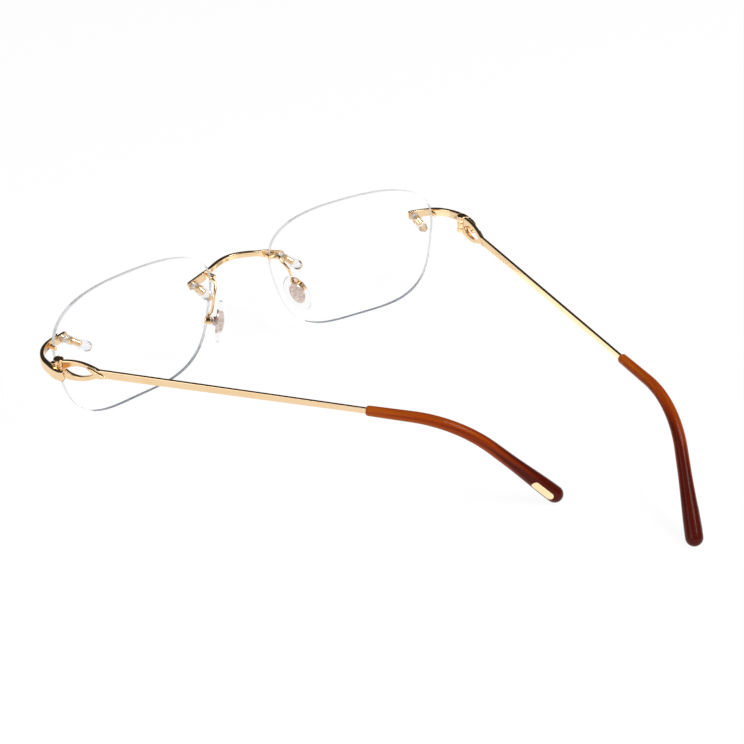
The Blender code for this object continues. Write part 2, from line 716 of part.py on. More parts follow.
def make_endpieces():
    """A strip from the lens plate to the hinge, with a claw and two of the three knuckles."""
    hole, stations = endpiece_path()
    tangent, out = stations[0][1:3]
    rings = plate_end(hole, tangent, out.cross(tangent), out)
    for spot, way, face, share in stations:
        face = out.lerp(face, blend(0.0, 1.0, share * 3))
        face = (face - way * face.dot(way)).normalized()
        height = blend(ENDPIECE_HEIGHT, ENDPIECE_HINGE_HEIGHT, (share - 0.35) * 2)
        thickness = blend(PLATE_THICKNESS, ENDPIECE_THICKNESS, share * 4)
        thickness = blend(thickness, ENDPIECE_HINGE_THICKNESS, (share - 0.4) * 3)
        rings.append(bar_ring(spot, face.cross(way), face, height, thickness))
    strip = loft(rings)
    seat = Matrix.Rotation(FRONT_LEAN, 4, "X") @ LENS_FRAME
    bore = plate_bore(seat @ OUTER)
    height = OUTER_HOLE[1]
    tab = moved(claw(edge_reach(height, True), height, True, False), seat)
    hinge = Matrix.Translation(hinge_point())
    knuckle = KNUCKLE_DIAMETER / 2
    leaf = knuckle + ENDPIECE_HINGE_THICKNESS / 2
    gap_top = MIDDLE_KNUCKLE / 2 + RUNNING_GAP
    pieces = [strip, tab]
    for low, high in ((gap_top, BARREL_TOP), (BARREL_BOTTOM, -gap_top)):
        pieces.append(moved(rod(KNUCKLE_DIAMETER, low, high), hinge))
        pieces.append(moved(block((0.0, -0.6 * knuckle, low + 0.02 * MM),
                                  (leaf, 0.6 * knuckle, high - 0.02 * MM)), hinge))
    body = joined(*pieces)
    pocket = rod(KNUCKLE_DIAMETER + 2 * RUNNING_GAP, -gap_top, gap_top)
    pin_hole = rod(HINGE_SCREW_DIAMETER + 2 * RUNNING_GAP, BARREL_BOTTOM - MM, BARREL_TOP + MM, 20)
    stop_face = BAR_OFFSET + EYELET_THICKNESS / 2 + STOP_GAP
    temple_room = moved(block((-3.0 * MM, knuckle + RUNNING_GAP, -4.0 * MM),
                              (stop_face, 8.0 * MM, 4.0 * MM)),
                        Matrix.Rotation(OPEN_FOLD, 4, "Z"))
    body = cut(body, bore, moved(pocket, hinge), moved(pin_hole, hinge), moved(temple_room, hinge))
    place_pair("endpiece", body, GOLD, Matrix.Identity(4), BOTH_UPRIGHT)


# ---------------------------------------------------------------- hinges and temples

HINGE_FRAME = UPRIGHT @ Matrix.Translation(hinge_point())


def hinge_empties():
    left = empty("left_hinge", HINGE_FRAME @ Matrix.Rotation(LEFT_FOLD, 4, "Z"), STAND)
    right = empty("right_hinge", MIRROR @ HINGE_FRAME @ Matrix.Rotation(OPEN_FOLD, 4, "Z") @ MIRROR,
                  STAND)
    return left, right


def make_hinge_screws():
    shank, head = HINGE_SCREW_DIAMETER / 2, HINGE_SCREW_HEAD / 2
    seat = BARREL_TOP + SEAT_GAP
    top = seat + HINGE_SCREW_HEAD_RISE
    screw = turned([
        (0.0, top), (head - 0.2 * MM, top), (head, top - 0.15 * MM), (head, seat), (shank, seat),
        (shank, BARREL_BOTTOM), (0.0, BARREL_BOTTOM),
    ], 24)
    place_pair("hinge_screw", screw, GOLD, Matrix.Translation(hinge_point()), BOTH_UPRIGHT)


def tail_length():
    """Straight tail after the bend that brings the round tip end down to the table."""
    bend_drop = BEND_RADIUS * (1 - math.cos(BEND_ANGLE))
    return (TEMPLE_HEIGHT - TIP_END_DIAMETER / 2 - bend_drop) / math.sin(BEND_ANGLE)


BEND_END = BEND_START + BEND_RADIUS * BEND_ANGLE
TIP_CENTRE = BEND_END + tail_length()


def temple_station(along):
    """Centre, direction, upward and outward axes of the temple, so far from the hinge."""
    turn = min(max(along - BEND_START, 0.0) / BEND_RADIUS, BEND_ANGLE)
    extra = max(along - BEND_END, 0.0)
    back = min(along, BEND_START) + BEND_RADIUS * math.sin(turn) + extra * math.cos(BEND_ANGLE)
    drop = BEND_RADIUS * (1 - math.cos(turn)) + extra * math.sin(BEND_ANGLE)
    centre = Vector((BAR_OFFSET - TAIL_LEAN * drop, back, -drop))
    slope = math.sin(turn)
    way = Vector((-TAIL_LEAN * slope, math.cos(turn), -slope)).normalized()
    out = Vector((1.0, 0.0, 0.0))
    out = (out - way * out.dot(way)).normalized()
    return centre, way, out.cross(way), out


def almond(start, length, height, points):
    """Half-height of a pointed almond, as (along, height) points of its upper side."""
    half, rise = length / 2, height / 2
    radius = (half * half + rise * rise) / (2 * rise)
    side = []
    for i in range(points + 1):
        x = -half + length * i / points
        side.append((start + half + x, math.sqrt(radius * radius - x * x) - (radius - rise)))
    return side


def make_temples(hinges):
    """Middle knuckle, almond eyelet, tapering bar and the wire core of the tip."""
    knuckle = KNUCKLE_DIAMETER / 2
    root = knuckle + 2 * RUNNING_GAP
    upper = almond(EYELET_END - EYELET_LENGTH, EYELET_LENGTH, EYELET_HEIGHT, 24)
    upper = [(max(x, root), z) for x, z in upper if x > root - 0.4 * MM]
    outline = upper + [(x, -z) for x, z in reversed(upper[:-1])]
    opening_side = almond(EYELET_OPENING_START, EYELET_OPENING_LENGTH, EYELET_OPENING_HEIGHT, 14)
    opening = opening_side + [(x, -z) for x, z in reversed(opening_side[1:-1])]
    # The plate is drawn as (along, up) and stood in the temple's own plane.
    stand_up = axes(Vector((BAR_OFFSET, 0.0, 0.0)), Vector((0.0, 1.0, 0.0)),
                    Vector((0.0, 0.0, 1.0)), Vector((1.0, 0.0, 0.0)))
    eyelet = moved(flat_plate([outline, opening], EYELET_THICKNESS), stand_up)
    bar_start = EYELET_OPENING_START + EYELET_OPENING_LENGTH + 0.4 * MM
    bar_end = TIP_START + BAR_IN_TIP
    rings = []
    # The flat faces end short of the eyelet and of the tip, where the bar swells and thins.
    for along, swell in ((bar_start, BAR_SWELL), (bar_start + BAR_RUN_IN, 0.0),
                         (TIP_START - BAR_RUN_OUT, 0.0), (bar_end, -BAR_SWELL)):
        centre, way, up, out = temple_station(along)
        share = (along - bar_start) / (bar_end - bar_start)
        rings.append(bar_ring(centre, up, out, BAR_HEIGHT + (BAR_END_HEIGHT - BAR_HEIGHT) * share,
                              BAR_THICKNESS + (BAR_END_THICKNESS - BAR_THICKNESS) * share + swell))
    bar = loft(rings)
    core_rings = []
    for i in range(15):
        along = bar_end - 0.6 * MM + (CORE_END - bar_end + 0.6 * MM) * i / 14
        centre, way, up, out = temple_station(along)
        core_rings.append(round_ring(centre, up, out, CORE_DIAMETER / 2, 10))
    core = loft(core_rings)
    barrel = rod(KNUCKLE_DIAMETER, -MIDDLE_KNUCKLE / 2, MIDDLE_KNUCKLE / 2)
    neck_half = MIDDLE_KNUCKLE / 2 - 0.02 * MM
    neck = block((BAR_OFFSET - 0.45 * BAR_THICKNESS, 0.3 * knuckle, -neck_half),
                 (BAR_OFFSET + 0.45 * BAR_THICKNESS, root + 0.3 * MM, neck_half))
    body = joined(barrel, neck, eyelet, bar, core)
    pin_hole = rod(HINGE_SCREW_DIAMETER + 2 * RUNNING_GAP, -MIDDLE_KNUCKLE, MIDDLE_KNUCKLE, 20)
    place_pair("temple", cut(body, pin_hole), GOLD, Matrix.Identity(4), hinges)


def tip_radius(along):
    start, middle, end = TIP_START_DIAMETER / 2, TIP_MIDDLE_DIAMETER / 2, TIP_END_DIAMETER / 2
    if along < TIP_MIDDLE:
        return start + (middle - start) * (along - TIP_START) / (TIP_MIDDLE - TIP_START)
    return blend(middle, end, (along - TIP_MIDDLE) / (TIP_CENTRE - TIP_MIDDLE))


def make_temple_tips(hinges):
    """Acetate sleeve on the wire core, swelling to a round end, with a flush inlay."""
    sides = 16
    rings = []
    for along, share in ((TIP_START, 0.8), (TIP_START + 0.15 * MM, 0.9), (TIP_START + 0.6 * MM, 1.0)):
        centre, way, up, out = temple_station(along)
        rings.append(round_ring(centre, up, out, tip_radius(along) * share, sides))
    steps = 22
    for i in range(1, steps + 1):
        along = TIP_START + (TIP_CENTRE - TIP_START) * i / steps
        centre, way, up, out = temple_station(along)
        rings.append(round_ring(centre, up, out, tip_radius(along), sides))
    centre, way, up, out = temple_station(TIP_CENTRE)
    end_radius = TIP_END_DIAMETER / 2
    for degrees in (20, 40, 58, 74, 86):
        spot = centre + way * end_radius * math.sin(degrees * DEG)
        rings.append(round_ring(spot, up, out, end_radius * math.cos(degrees * DEG), sides))
    sleeve = loft(rings)
    bore_rings = []
    for i in range(16):
        along = TIP_START - 1.0 * MM + (CORE_END + 2.0 * MM - TIP_START) * i / 15
        spot, way, up, out = temple_station(along)
        bore_rings.append(round_ring(spot, up, out, CORE_DIAMETER / 2 + 3 * RUNNING_GAP, 12))
    bore = loft(bore_rings)
    socket_rings = []
    for along in (TIP_START - MM, TIP_START + BAR_IN_TIP / 2, TIP_START + BAR_IN_TIP + 0.2 * MM):
        spot, way, up, out = temple_station(along)
        socket_rings.append(bar_ring(spot, up, out, BAR_END_HEIGHT + 2 * RUNNING_GAP,
                                     BAR_END_THICKNESS + 2 * RUNNING_GAP))
    socket = loft(socket_rings)
    inlay_middle = TIP_CENTRE + end_radius - INLAY_FROM_END
    spot, way, up, out = temple_station(inlay_middle)
    frame = axes(spot, way, up, out)
    surface = tip_radius(inlay_middle)
    inlay_slot = stadium(INLAY_LENGTH, INLAY_WIDTH, surface - INLAY_DEPTH, surface + MM)
    pocket = stadium(INLAY_LENGTH + 2 * SEAT_GAP, INLAY_WIDTH + 2 * SEAT_GAP,
                     surface - INLAY_DEPTH - SEAT_GAP, surface + 1.1 * MM)
    inlay = combined(sleeve.copy(), moved(inlay_slot, frame), "INTERSECT")
    sleeve = cut(sleeve, moved(pocket, frame), bore, socket)
    place_pair("temple_tip", sleeve, HORN, Matrix.Identity(4), hinges)
    place_pair("tip_inlay", inlay, GOLD, Matrix.Identity(4), hinges)


def stadium(length, width, low, high):
    """An upright slug with round ends, for a shape let into a surface."""
    radius = width / 2
    outline = []
    for end in (1, -1):
        for i in range(9):
            turn = (-90 + 22.5 * i) * DEG
            outline.append((end * ((length / 2 - radius) + radius * math.cos(turn)),
                            end * radius * math.sin(turn)))
    slug = flat_plate([outline], high - low)
    return moved(slug, Matrix.Translation((0.0, 0.0, (low + high) / 2)))


# ---------------------------------------------------------------- nose pads

def pad_frame():
    """Pad frame at its screw: Z towards the nose, Y up the pad, X along the screw."""
    flat = math.cos(PAD_FLARE)
    towards_nose = Vector((-math.cos(PAD_SPLAY) * flat, math.sin(PAD_SPLAY) * flat,
                           math.sin(PAD_FLARE)))
    up = Vector((0.0, 0.0, 1.0))
    up = (up - towards_nose * up.dot(towards_nose)).normalized()
    up = (up * math.cos(PAD_LEAN) + up.cross(towards_nose) * math.sin(PAD_LEAN)).normalized()
    return axes(Vector(PAD_PIVOT), up.cross(towards_nose), up, towards_nose)


PAD_FRAME = pad_frame()


def pad_empties():
    left = empty("left_pad_pivot", UPRIGHT @ PAD_FRAME, STAND)
    right = empty("right_pad_pivot", MIRROR @ UPRIGHT @ PAD_FRAME @ MIRROR, STAND)
    return left, right


def oval(length, width, thickness, sides):
    disc = rod(1.0, -0.5, 0.5, sides)
    return moved(disc, Matrix.Diagonal((width, length, thickness, 1.0)))


def core_plate(grow):
    """The oval plate inside the pad with the tab that the pad screw holds."""
    middle = PAD_STEM
    plate = moved(oval(CORE_PLATE_LENGTH + 2 * grow, CORE_PLATE_WIDTH + 2 * grow,
                       CORE_PLATE_THICKNESS + 2 * grow, 24),
                  Matrix.Translation((0.0, 0.0, middle)))
    half_tab, half_length = PAD_TAB_THICKNESS / 2 + grow, PAD_TAB_LENGTH / 2 + grow
    tab = block((-half_tab, -half_length, 0.0), (half_tab, half_length, middle))
    return joined(plate, tab)


def make_pads(pivots):
    half_tab = PAD_TAB_THICKNESS / 2
    eye = moved(rod(PAD_TAB_LENGTH, -half_tab, half_tab),
                Matrix.Rotation(90 * DEG, 4, "Y"))
    pin_hole = moved(rod(PAD_SCREW_DIAMETER + 2 * RUNNING_GAP, -MM, MM, 16),
                     Matrix.Rotation(90 * DEG, 4, "Y"))
    core = cut(joined(core_plate(0.0), eye), pin_hole)
    place_pair("pad_core", core, PINK_GOLD, Matrix.Identity(4), pivots)
    bm = bmesh.new()
    bmesh.ops.create_uvsphere(bm, u_segments=24, v_segments=12, radius=0.5)
    bm.transform(Matrix.Diagonal((PAD_WIDTH, PAD_LENGTH, PAD_THICKNESS, 1.0)))
    pillow = moved(mesh_from(bm, "pillow"), Matrix.Translation((0.0, 0.0, PAD_STEM + 0.35 * MM)))
    back = PAD_STEM - CORE_PLATE_THICKNESS / 2 - 0.5 * MM
    behind = block((-PAD_WIDTH, -PAD_LENGTH, back - 5 * MM), (PAD_WIDTH, PAD_LENGTH, back))
    pad = cut(pillow, behind, core_plate(SEAT_GAP))
    place_pair("nose_pad", pad, SILICONE, Matrix.Identity(4), pivots)


def make_pad_arms():
    """A bent wire from the bridge's claw down to the box that holds the pad's tab."""
    half_tab = PAD_TAB_THICKNESS / 2 + RUNNING_GAP
    half_box = half_tab + PAD_BOX_WALL
    floor = -PAD_TAB_LENGTH / 2 - RUNNING_GAP
    back = floor - PAD_BOX_FLOOR
    box = block((-half_box, -PAD_BOX_LENGTH / 2, back),
                (half_box, PAD_BOX_LENGTH / 2, PAD_BOX_RISE))
    slot = block((-half_tab, -PAD_BOX_LENGTH, floor), (half_tab, PAD_BOX_LENGTH, PAD_BOX_RISE * 2))
    pin_hole = moved(rod(PAD_SCREW_DIAMETER + 2 * RUNNING_GAP, -2 * MM, 2 * MM, 16),
                     Matrix.Rotation(90 * DEG, 4, "Y"))
    height = bridge_claw_height()
    edge = edge_reach(height, False)
    surface = lens_surface(edge, height).z
    foot = Vector((edge + 1.0 * MM, height,
                   surface + LENS_BACK - 5 * SEAT_GAP - CLAW_THICKNESS))
    start = Matrix.Rotation(FRONT_LEAN, 4, "X") @ LENS_FRAME @ foot
    box_back = PAD_FRAME @ Vector((0.0, 0.0, back + 0.3 * MM))
    pivot = Vector(PAD_PIVOT)
    route = [
        start,
        start + Vector((-0.07 * MM, 0.6 * MM, 0.07 * MM)),
        start + Vector((0.4 * MM, PAD_ARM_ARCH / 2, 0.7 * MM)),
        start + Vector((0.4 * MM, PAD_ARM_ARCH, -0.3 * MM)),
        pivot + Vector((-3.1 * MM, -1.5 * MM, 6.5 * MM)),
        pivot + Vector((-2.1 * MM, -1.3 * MM, 4.4 * MM)),
        pivot + Vector((-1.2 * MM, -1.4 * MM, 2.0 * MM)),
        pivot + Vector((0.1 * MM, -1.2 * MM, 0.9 * MM)),
        box_back,
    ]
    arm = joined(wire(smooth_points(route, 4), PAD_ARM_DIAMETER), moved(box, PAD_FRAME))
    arm = cut(arm, moved(slot, PAD_FRAME), moved(pin_hole, PAD_FRAME))
    place_pair("pad_arm", arm, GOLD, Matrix.Identity(4), BOTH_UPRIGHT)
    shank, head = PAD_SCREW_DIAMETER / 2, PAD_SCREW_HEAD / 2
    seat = half_box + SEAT_GAP
    screw = turned([(0.0, seat + PAD_SCREW_HEAD_RISE), (head * 0.8, seat + PAD_SCREW_HEAD_RISE),
                    (head, seat + PAD_SCREW_HEAD_RISE * 0.5), (head, seat), (shank, seat),
                    (shank, -half_box), (0.0, -half_box)], 16)
    across = PAD_FRAME @ Matrix.Rotation(90 * DEG, 4, "Y")
    place_pair("pad_screw", screw, GOLD, across, BOTH_UPRIGHT)


# ---------------------------------------------------------------- assembly

def centre_on_origin():
    """Moves the stand so that the origin lies under the middle of the glasses, on the table."""
    bpy.context.view_layer.update()
    corners = [item.matrix_world @ vertex.co for item in PARTS.objects
               for vertex in item.data.vertices]
    low = Vector([min(point[k] for point in corners) for k in range(3)])
    high = Vector([max(point[k] for point in corners) for k in range(3)])
    middle = (low + high) / 2
    STAND.location = (-middle.x, -middle.y, -low.z)
    bpy.context.view_layer.update()


def main():
    make_lenses()
    make_lens_fixings()
    make_bridge()
    make_endpieces()
    hinges = hinge_empties()
    make_hinge_screws()
    make_temples(hinges)
    make_temple_tips(hinges)
    make_pad_arms()
    make_pads(pad_empties())
    centre_on_origin()


main()
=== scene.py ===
"""Rimless eyeglasses: the visible pieces, their finishes and a plain white studio stage."""

import json
from math import atan2, copysign, cos, pi, sin, sqrt, tan

import bmesh
import bpy
from bpy.types import NodeSocket, Operator, Panel, PropertyGroup
from mathutils import Matrix, Vector
from mathutils.geometry import interpolate_bezier


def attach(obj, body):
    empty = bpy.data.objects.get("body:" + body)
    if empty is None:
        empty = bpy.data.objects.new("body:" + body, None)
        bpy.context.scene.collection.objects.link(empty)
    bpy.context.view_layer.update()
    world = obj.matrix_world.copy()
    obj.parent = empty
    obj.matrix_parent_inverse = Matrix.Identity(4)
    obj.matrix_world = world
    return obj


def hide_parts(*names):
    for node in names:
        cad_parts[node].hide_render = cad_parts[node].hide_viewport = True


bl_info = {
    "name": "Rimless eyeglasses",
    "version": (1, 0, 0),
    "blender": (4, 5, 0),
    "location": "View3D > Sidebar > Eyeglasses",
    "description": "Builds the visible pieces of rimless eyeglasses on their mechanical frame",
    "category": "Add Mesh",
}

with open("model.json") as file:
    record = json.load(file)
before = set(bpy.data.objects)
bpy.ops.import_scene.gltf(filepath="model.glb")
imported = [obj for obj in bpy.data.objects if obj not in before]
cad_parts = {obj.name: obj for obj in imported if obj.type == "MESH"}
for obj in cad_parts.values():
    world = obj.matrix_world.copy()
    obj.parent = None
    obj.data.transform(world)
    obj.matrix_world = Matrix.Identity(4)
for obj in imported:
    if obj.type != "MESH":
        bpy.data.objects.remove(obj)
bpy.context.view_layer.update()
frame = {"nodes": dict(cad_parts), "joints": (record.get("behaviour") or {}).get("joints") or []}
JOINTS = {joint["name"]: joint for joint in frame["joints"]}

MM = 0.001
DEG = pi / 180.0
MIRROR = Matrix.Diagonal((-1.0, 1.0, 1.0, 1.0))
ACROSS, UP = Vector((1.0, 0.0, 0.0)), Vector((0.0, 0.0, 1.0))


# ------------------------ sizes and colours

def length(name, description, millimetres):
    return bpy.props.FloatProperty(name=name, description=description, default=millimetres * MM,
                                   unit="LENGTH", precision=5)


def angle(name, description, degrees):
    return bpy.props.FloatProperty(name=name, description=description, default=degrees * DEG,
                                   subtype="ANGLE")


def colour(name, description, code):
    return bpy.props.StringProperty(name=name, description=description, default=code)


class FrontSizes(PropertyGroup):
    lens_width: length("Lens width", "From edge to edge", 53.0)
    lens_height: length("Lens height", "From the lowest to the highest point", 36.7)
    lens_thickness: length("Lens thickness", "The same all over", 1.9)
    lens_curve: length("Lens curve", "Radius of the middle surface", 120.0)
    lens_centre: length("Lens centre", "Distance from the bridge's middle", 36.75)
    edge_bevel: length("Edge bevel", "Width of the polished bevel", 0.3)
    wrap: angle("Wrap", "Turn of each lens, back at the temple", 7.2)
    lean: angle("Lean", "Tilt of the front, forward at the top", 7.2)
    plate_height: length("Plate height", "Of the plates on the lenses", 2.6)
    plate_thickness: length("Plate thickness", "Of the plates on the lenses", 0.9)
    bridge_height: length("Bridge height", "Of the bar over the nose", 1.6)
    bridge_thickness: length("Bridge thickness", "Of the bar over the nose", 1.2)
    plate_overrun: length("Plate overrun", "Length past its screw", 1.5)
    strip_height: length("Strip height", "Of an endpiece by the lens", 2.3)
    strip_end_height: length("Strip end height", "Of an endpiece by the hinge", 2.9)
    strip_thickness: length("Strip thickness", "Of an endpiece by the lens", 1.15)
    strip_end_thickness: length("Strip end thickness", "Of an endpiece by the hinge", 1.75)


class TempleSizes(PropertyGroup):
    left_fold: angle("Left fold", "Inward turn of the left temple", 40.5)
    right_fold: angle("Right fold", "Inward turn of the right temple", 7.4)
    bar_height: length("Bar height", "Of the flat bar at the eyelet", 2.35)
    bar_end_height: length("Bar end height", "Of the flat bar at the tip", 1.6)
    bar_thickness: length("Bar thickness", "Of the flat bar at the eyelet", 1.0)
    bar_end_thickness: length("Bar end thickness", "Of the flat bar at the tip", 0.84)
    tip_start: length("Tip start", "Distance from the hinge", 81.9)
    bend_start: length("Bend start", "Distance from the hinge", 93.8)
    bend_radius: length("Bend radius", "Behind the ear", 28.7)
    bend: angle("Bend", "Downward turn of the tip", 44.8)
    tip_width: length("Tip width", "Thickness at its start", 2.7)
    tip_middle_width: length("Tip middle width", "Thickness half way", 3.5)
    tip_end_width: length("Tip end width", "Thickness at the round end", 4.6)


class PadSizes(PropertyGroup):
    splay: angle("Splay", "Backward turn of a pad's face", 35.8)
    flare: angle("Flare", "Downward tilt of a pad's face", 6.0)
    lean: angle("Lean", "Outward lean of a pad's foot", 21.0)
    stem: length("Stem", "From the pad screw to the plate in the pad", 2.5)
    pad_length: length("Pad length", "The long way", 11.8)
    pad_width: length("Pad width", "The short way", 7.4)
    pad_thickness: length("Pad thickness", "At the middle of the full round", 3.2)
    core_length: length("Core length", "Of the plate in a pad", 6.5)
    core_width: length("Core width", "Of the plate in a pad", 4.0)
    arm_width: length("Arm width", "Of the wire that holds a pad", 0.85)


class Colours(PropertyGroup):
    gold: colour("Gold", "Polished plating on all the metal", "#F6DAB4")
    gold_shade: colour("Gold shade", "Plating where it is a little thinner", "#EFCB9B")
    core: colour("Pad core", "Plate inside each nose pad", "#EBDDD5")
    core_shade: colour("Pad core shade", "The same plate where it is darker", "#C2AB9E")
    # Painted light on the lens edges: the top colour is pale and also glows as a painted glow, the
    # lower one is painted shade.
    lens_edge_white_and_painted_glow: colour("Lens edge", "Edge of a lens at the top", "#FBFCFF")
    lens_edge_painted_shade: colour("Lens low edge", "Edge of a lens lower down", "#7E8795")
    tip_front: colour("Tip front", "Acetate at the front of each tip", "#C4601A")
    tip_middle: colour("Tip middle", "Acetate half way along each tip", "#A53F12")
    tip_end: colour("Tip end", "Acetate at the end of each tip", "#5A1A10")
    floor: colour("Floor", "Floor and background", "#FFFFFF")


def front():
    return bpy.context.scene.glasses_front


def temples():
    return bpy.context.scene.glasses_temples


def pads():
    return bpy.context.scene.glasses_pads


def colours():
    return bpy.context.scene.glasses_colours


# ------------------------ materials

def linear(code):
    """A linear colour with alpha from an sRGB hex code."""
    channels = [int(code[i:i + 2], 16) / 255 for i in (1, 3, 5)]
    return tuple(c / 12.92 if c <= 0.04045 else ((c + 0.055) / 1.055) ** 2.4
                 for c in channels) + (1.0,)


def feed(node, inputs):
    """Sets a node's inputs: a socket is linked, a string is a hex code, a number is itself."""
    for key, value in inputs.items():
        if isinstance(value, NodeSocket):
            node.id_data.links.new(value, node.inputs[key])
        else:
            node.inputs[key].default_value = linear(value) if isinstance(value, str) else value


def add_node(tree, kind, inputs=None, **settings):
    """A node with its settings and its inputs."""
    node = tree.nodes.new("ShaderNode" + kind)
    for key, value in settings.items():
        setattr(node, key, value)
    feed(node, inputs or {})
    return node


def empty_tree(owner):
    owner.use_nodes = True
    owner.node_tree.nodes.clear()
    return owner.node_tree


def calculate(tree, operation, first, second, **settings):
    return add_node(tree, "Math", {0: first, 1: second}, operation=operation,
                    **settings).outputs["Value"]


def ranged(tree, value, low, high, start=0.0, end=1.0):
    """Maps start to end onto low to high, without going past either."""
    return add_node(tree, "MapRange", {"Value": value, "From Min": start, "From Max": end,
                                       "To Min": low, "To Max": high}).outputs["Result"]


def noise(tree, scale, detail=2.0):
    """Noise on the object's own coordinates."""
    place = add_node(tree, "TexCoord").outputs["Object"]
    return add_node(tree, "TexNoise", {"Vector": place, "Scale": scale,
                                       "Detail": detail}).outputs["Fac"]


def mixed(tree, share, first, second):
    """A colour between two."""
    return add_node(tree, "Mix", {"Factor": share, "A": first, "B": second},
                    data_type="RGBA").outputs["Result"]


def part_of(tree, vector, axis):
    return add_node(tree, "SeparateXYZ", {"Vector": vector}).outputs[axis]


def ramped(tree, share, stops):
    """A colour ramp through (position, colour) stops."""
    ramp = add_node(tree, "ValToRGB", {"Fac": share})
    elements = ramp.color_ramp.elements
    elements[0].position, elements[1].position = stops[0][0], stops[-1][0]
    for place, tone in stops[1:-1]:
        elements.new(place)
    for element, (place, tone) in zip(elements, stops):
        element.color = linear(tone) if isinstance(tone, str) else tone
    return ramp.outputs["Color"]


def finish(build):
    """A material named after its function, made the first time it is asked for."""
    def ask():
        found = bpy.data.materials.get(build.__name__)
        if not found:
            found = bpy.data.materials.new(build.__name__)
            found.use_nodes = True
            tree = found.node_tree
            feed(tree.nodes["Principled BSDF"], build(tree))
        return found
    return ask


@finish
def polished_gold_plate(tree):
    # Gold-plated nickel alloy, drawn and polished: bright, with faint long polishing marks
    # 0.15 mm apart, coarser than the real ones so that they show. The plating is thinner and
    # thicker in patches of about 6 mm.
    marks = noise(tree, 6500.0, 3.0)
    bump = add_node(tree, "Bump", {"Strength": 0.03, "Distance": 0.00002, "Height": marks})
    return {"Metallic": 1.0, "Roughness": ranged(tree, marks, 0.10, 0.22),
            "Base Color": mixed(tree, noise(tree, 160.0), colours().gold, colours().gold_shade),
            "Normal": bump.outputs["Normal"]}


@finish
def clear_optical_resin(tree):
    # Coated optical resin: quite clear, with next to no reflection of its own.
    return {"Base Color": "#FFFFFF", "Roughness": 0.0, "IOR": 1.1,
            "Transmission Weight": 1.0}


@finish
def frosted_lens_edge_painted_shade_and_glow(tree):
    # The same resin, ground and polished at the edge, slightly frosted. Its colour is painted:
    # darker towards the floor as painted shade, standing in for the dark line of a thick edge below,
    # and pale with a painted glow above, standing in for the light that the lens pipes into it.
    # Grinding marks of 0.3 mm.
    up = part_of(tree, add_node(tree, "TexCoord").outputs["Object"], "Z")
    height = front().lens_height
    # Painted shade and glow: dark near the floor, pale higher up, and the same colour is given off
    # as emission.
    painted_edge_shade_and_glow = mixed(tree, ranged(tree, up, 0.0, 1.0, 0.03 * height, 0.3 * height),
                 colours().lens_edge_painted_shade, colours().lens_edge_white_and_painted_glow)
    return {"IOR": 1.3, "Transmission Weight": 0.35, "Emission Strength": 0.08,
            "Base Color": painted_edge_shade_and_glow, "Emission Color": painted_edge_shade_and_glow,
            "Roughness": ranged(tree, noise(tree, 3300.0), 0.3, 0.4)}


@finish
def clear_moulded_nylon(tree):
    # Moulded clear nylon: glossy and slightly grey where it is thick.
    return {"Base Color": "#F4F4F7", "Roughness": 0.0, "IOR": 1.2,
            "Transmission Weight": 1.0}


@finish
def clear_moulded_silicone(tree):
    # Moulded clear silicone: softer gloss than the nylon, with skin marks of about 0.4 mm.
    return {"Base Color": "#FCFBFB", "IOR": 1.2, "Transmission Weight": 1.0,
            "Roughness": ranged(tree, noise(tree, 2500.0), 0.04, 0.12)}


@finish
def stamped_pink_gold(tree):
    # Pinkish gold plate, stamped: satin, with lighter and darker spots of about 0.8 mm.
    spots = ranged(tree, noise(tree, 1300.0), 0.0, 1.0, 0.35, 0.65)
    return {"Metallic": 1.0,
            "Base Color": mixed(tree, spots, colours().core, colours().core_shade),
            "Roughness": ranged(tree, noise(tree, 3000.0), 0.22, 0.38)}


@finish
def polished_brown_acetate(tree):
    # Cellulose acetate, tumbled and polished: warm orange brown that darkens towards the end,
    # with long streaks from the sheet it was cut from. The grain runs along the tip: X is the
    # share of its length, Y and Z go round it.
    grain = add_node(tree, "Attribute", attribute_name="grain").outputs["Vector"]
    streaks = add_node(tree, "TexNoise", {"Vector": grain, "Scale": 1.5, "Detail": 2.0,
                                          "Distortion": 0.4}).outputs["Fac"]
    shift = ranged(tree, part_of(tree, grain, "X"), -0.36, 0.34)
    wander = add_node(tree, "Math", {0: streaks, 1: 1.3, 2: shift}, operation="MULTIPLY_ADD")
    return {"IOR": 1.35, "Roughness": 0.14, "Specular IOR Level": 0.15,
            "Base Color": ramped(tree, wander.outputs["Value"], (
                (0.25, colours().tip_front), (0.58, colours().tip_middle),
                (0.88, colours().tip_end)))}


LOOKS = {"gold_metal": polished_gold_plate, "clear_lens": clear_optical_resin,
         "clear_nylon": clear_moulded_nylon, "clear_silicone": clear_moulded_silicone,
         "pad_core_metal": stamped_pink_gold, "brown_acetate": polished_brown_acetate}


# ------------------------ modelling helpers

def pick(*chosen):
    """Selects only these objects, the first of them active."""
    bpy.ops.object.select_all(action="DESELECT")
    for piece in chosen:
        piece.select_set(True)
    bpy.context.view_layer.objects.active = chosen[0] if chosen else None


def edit_all():
    bpy.ops.object.mode_set(mode="EDIT")
    bpy.ops.mesh.select_all(action="SELECT")


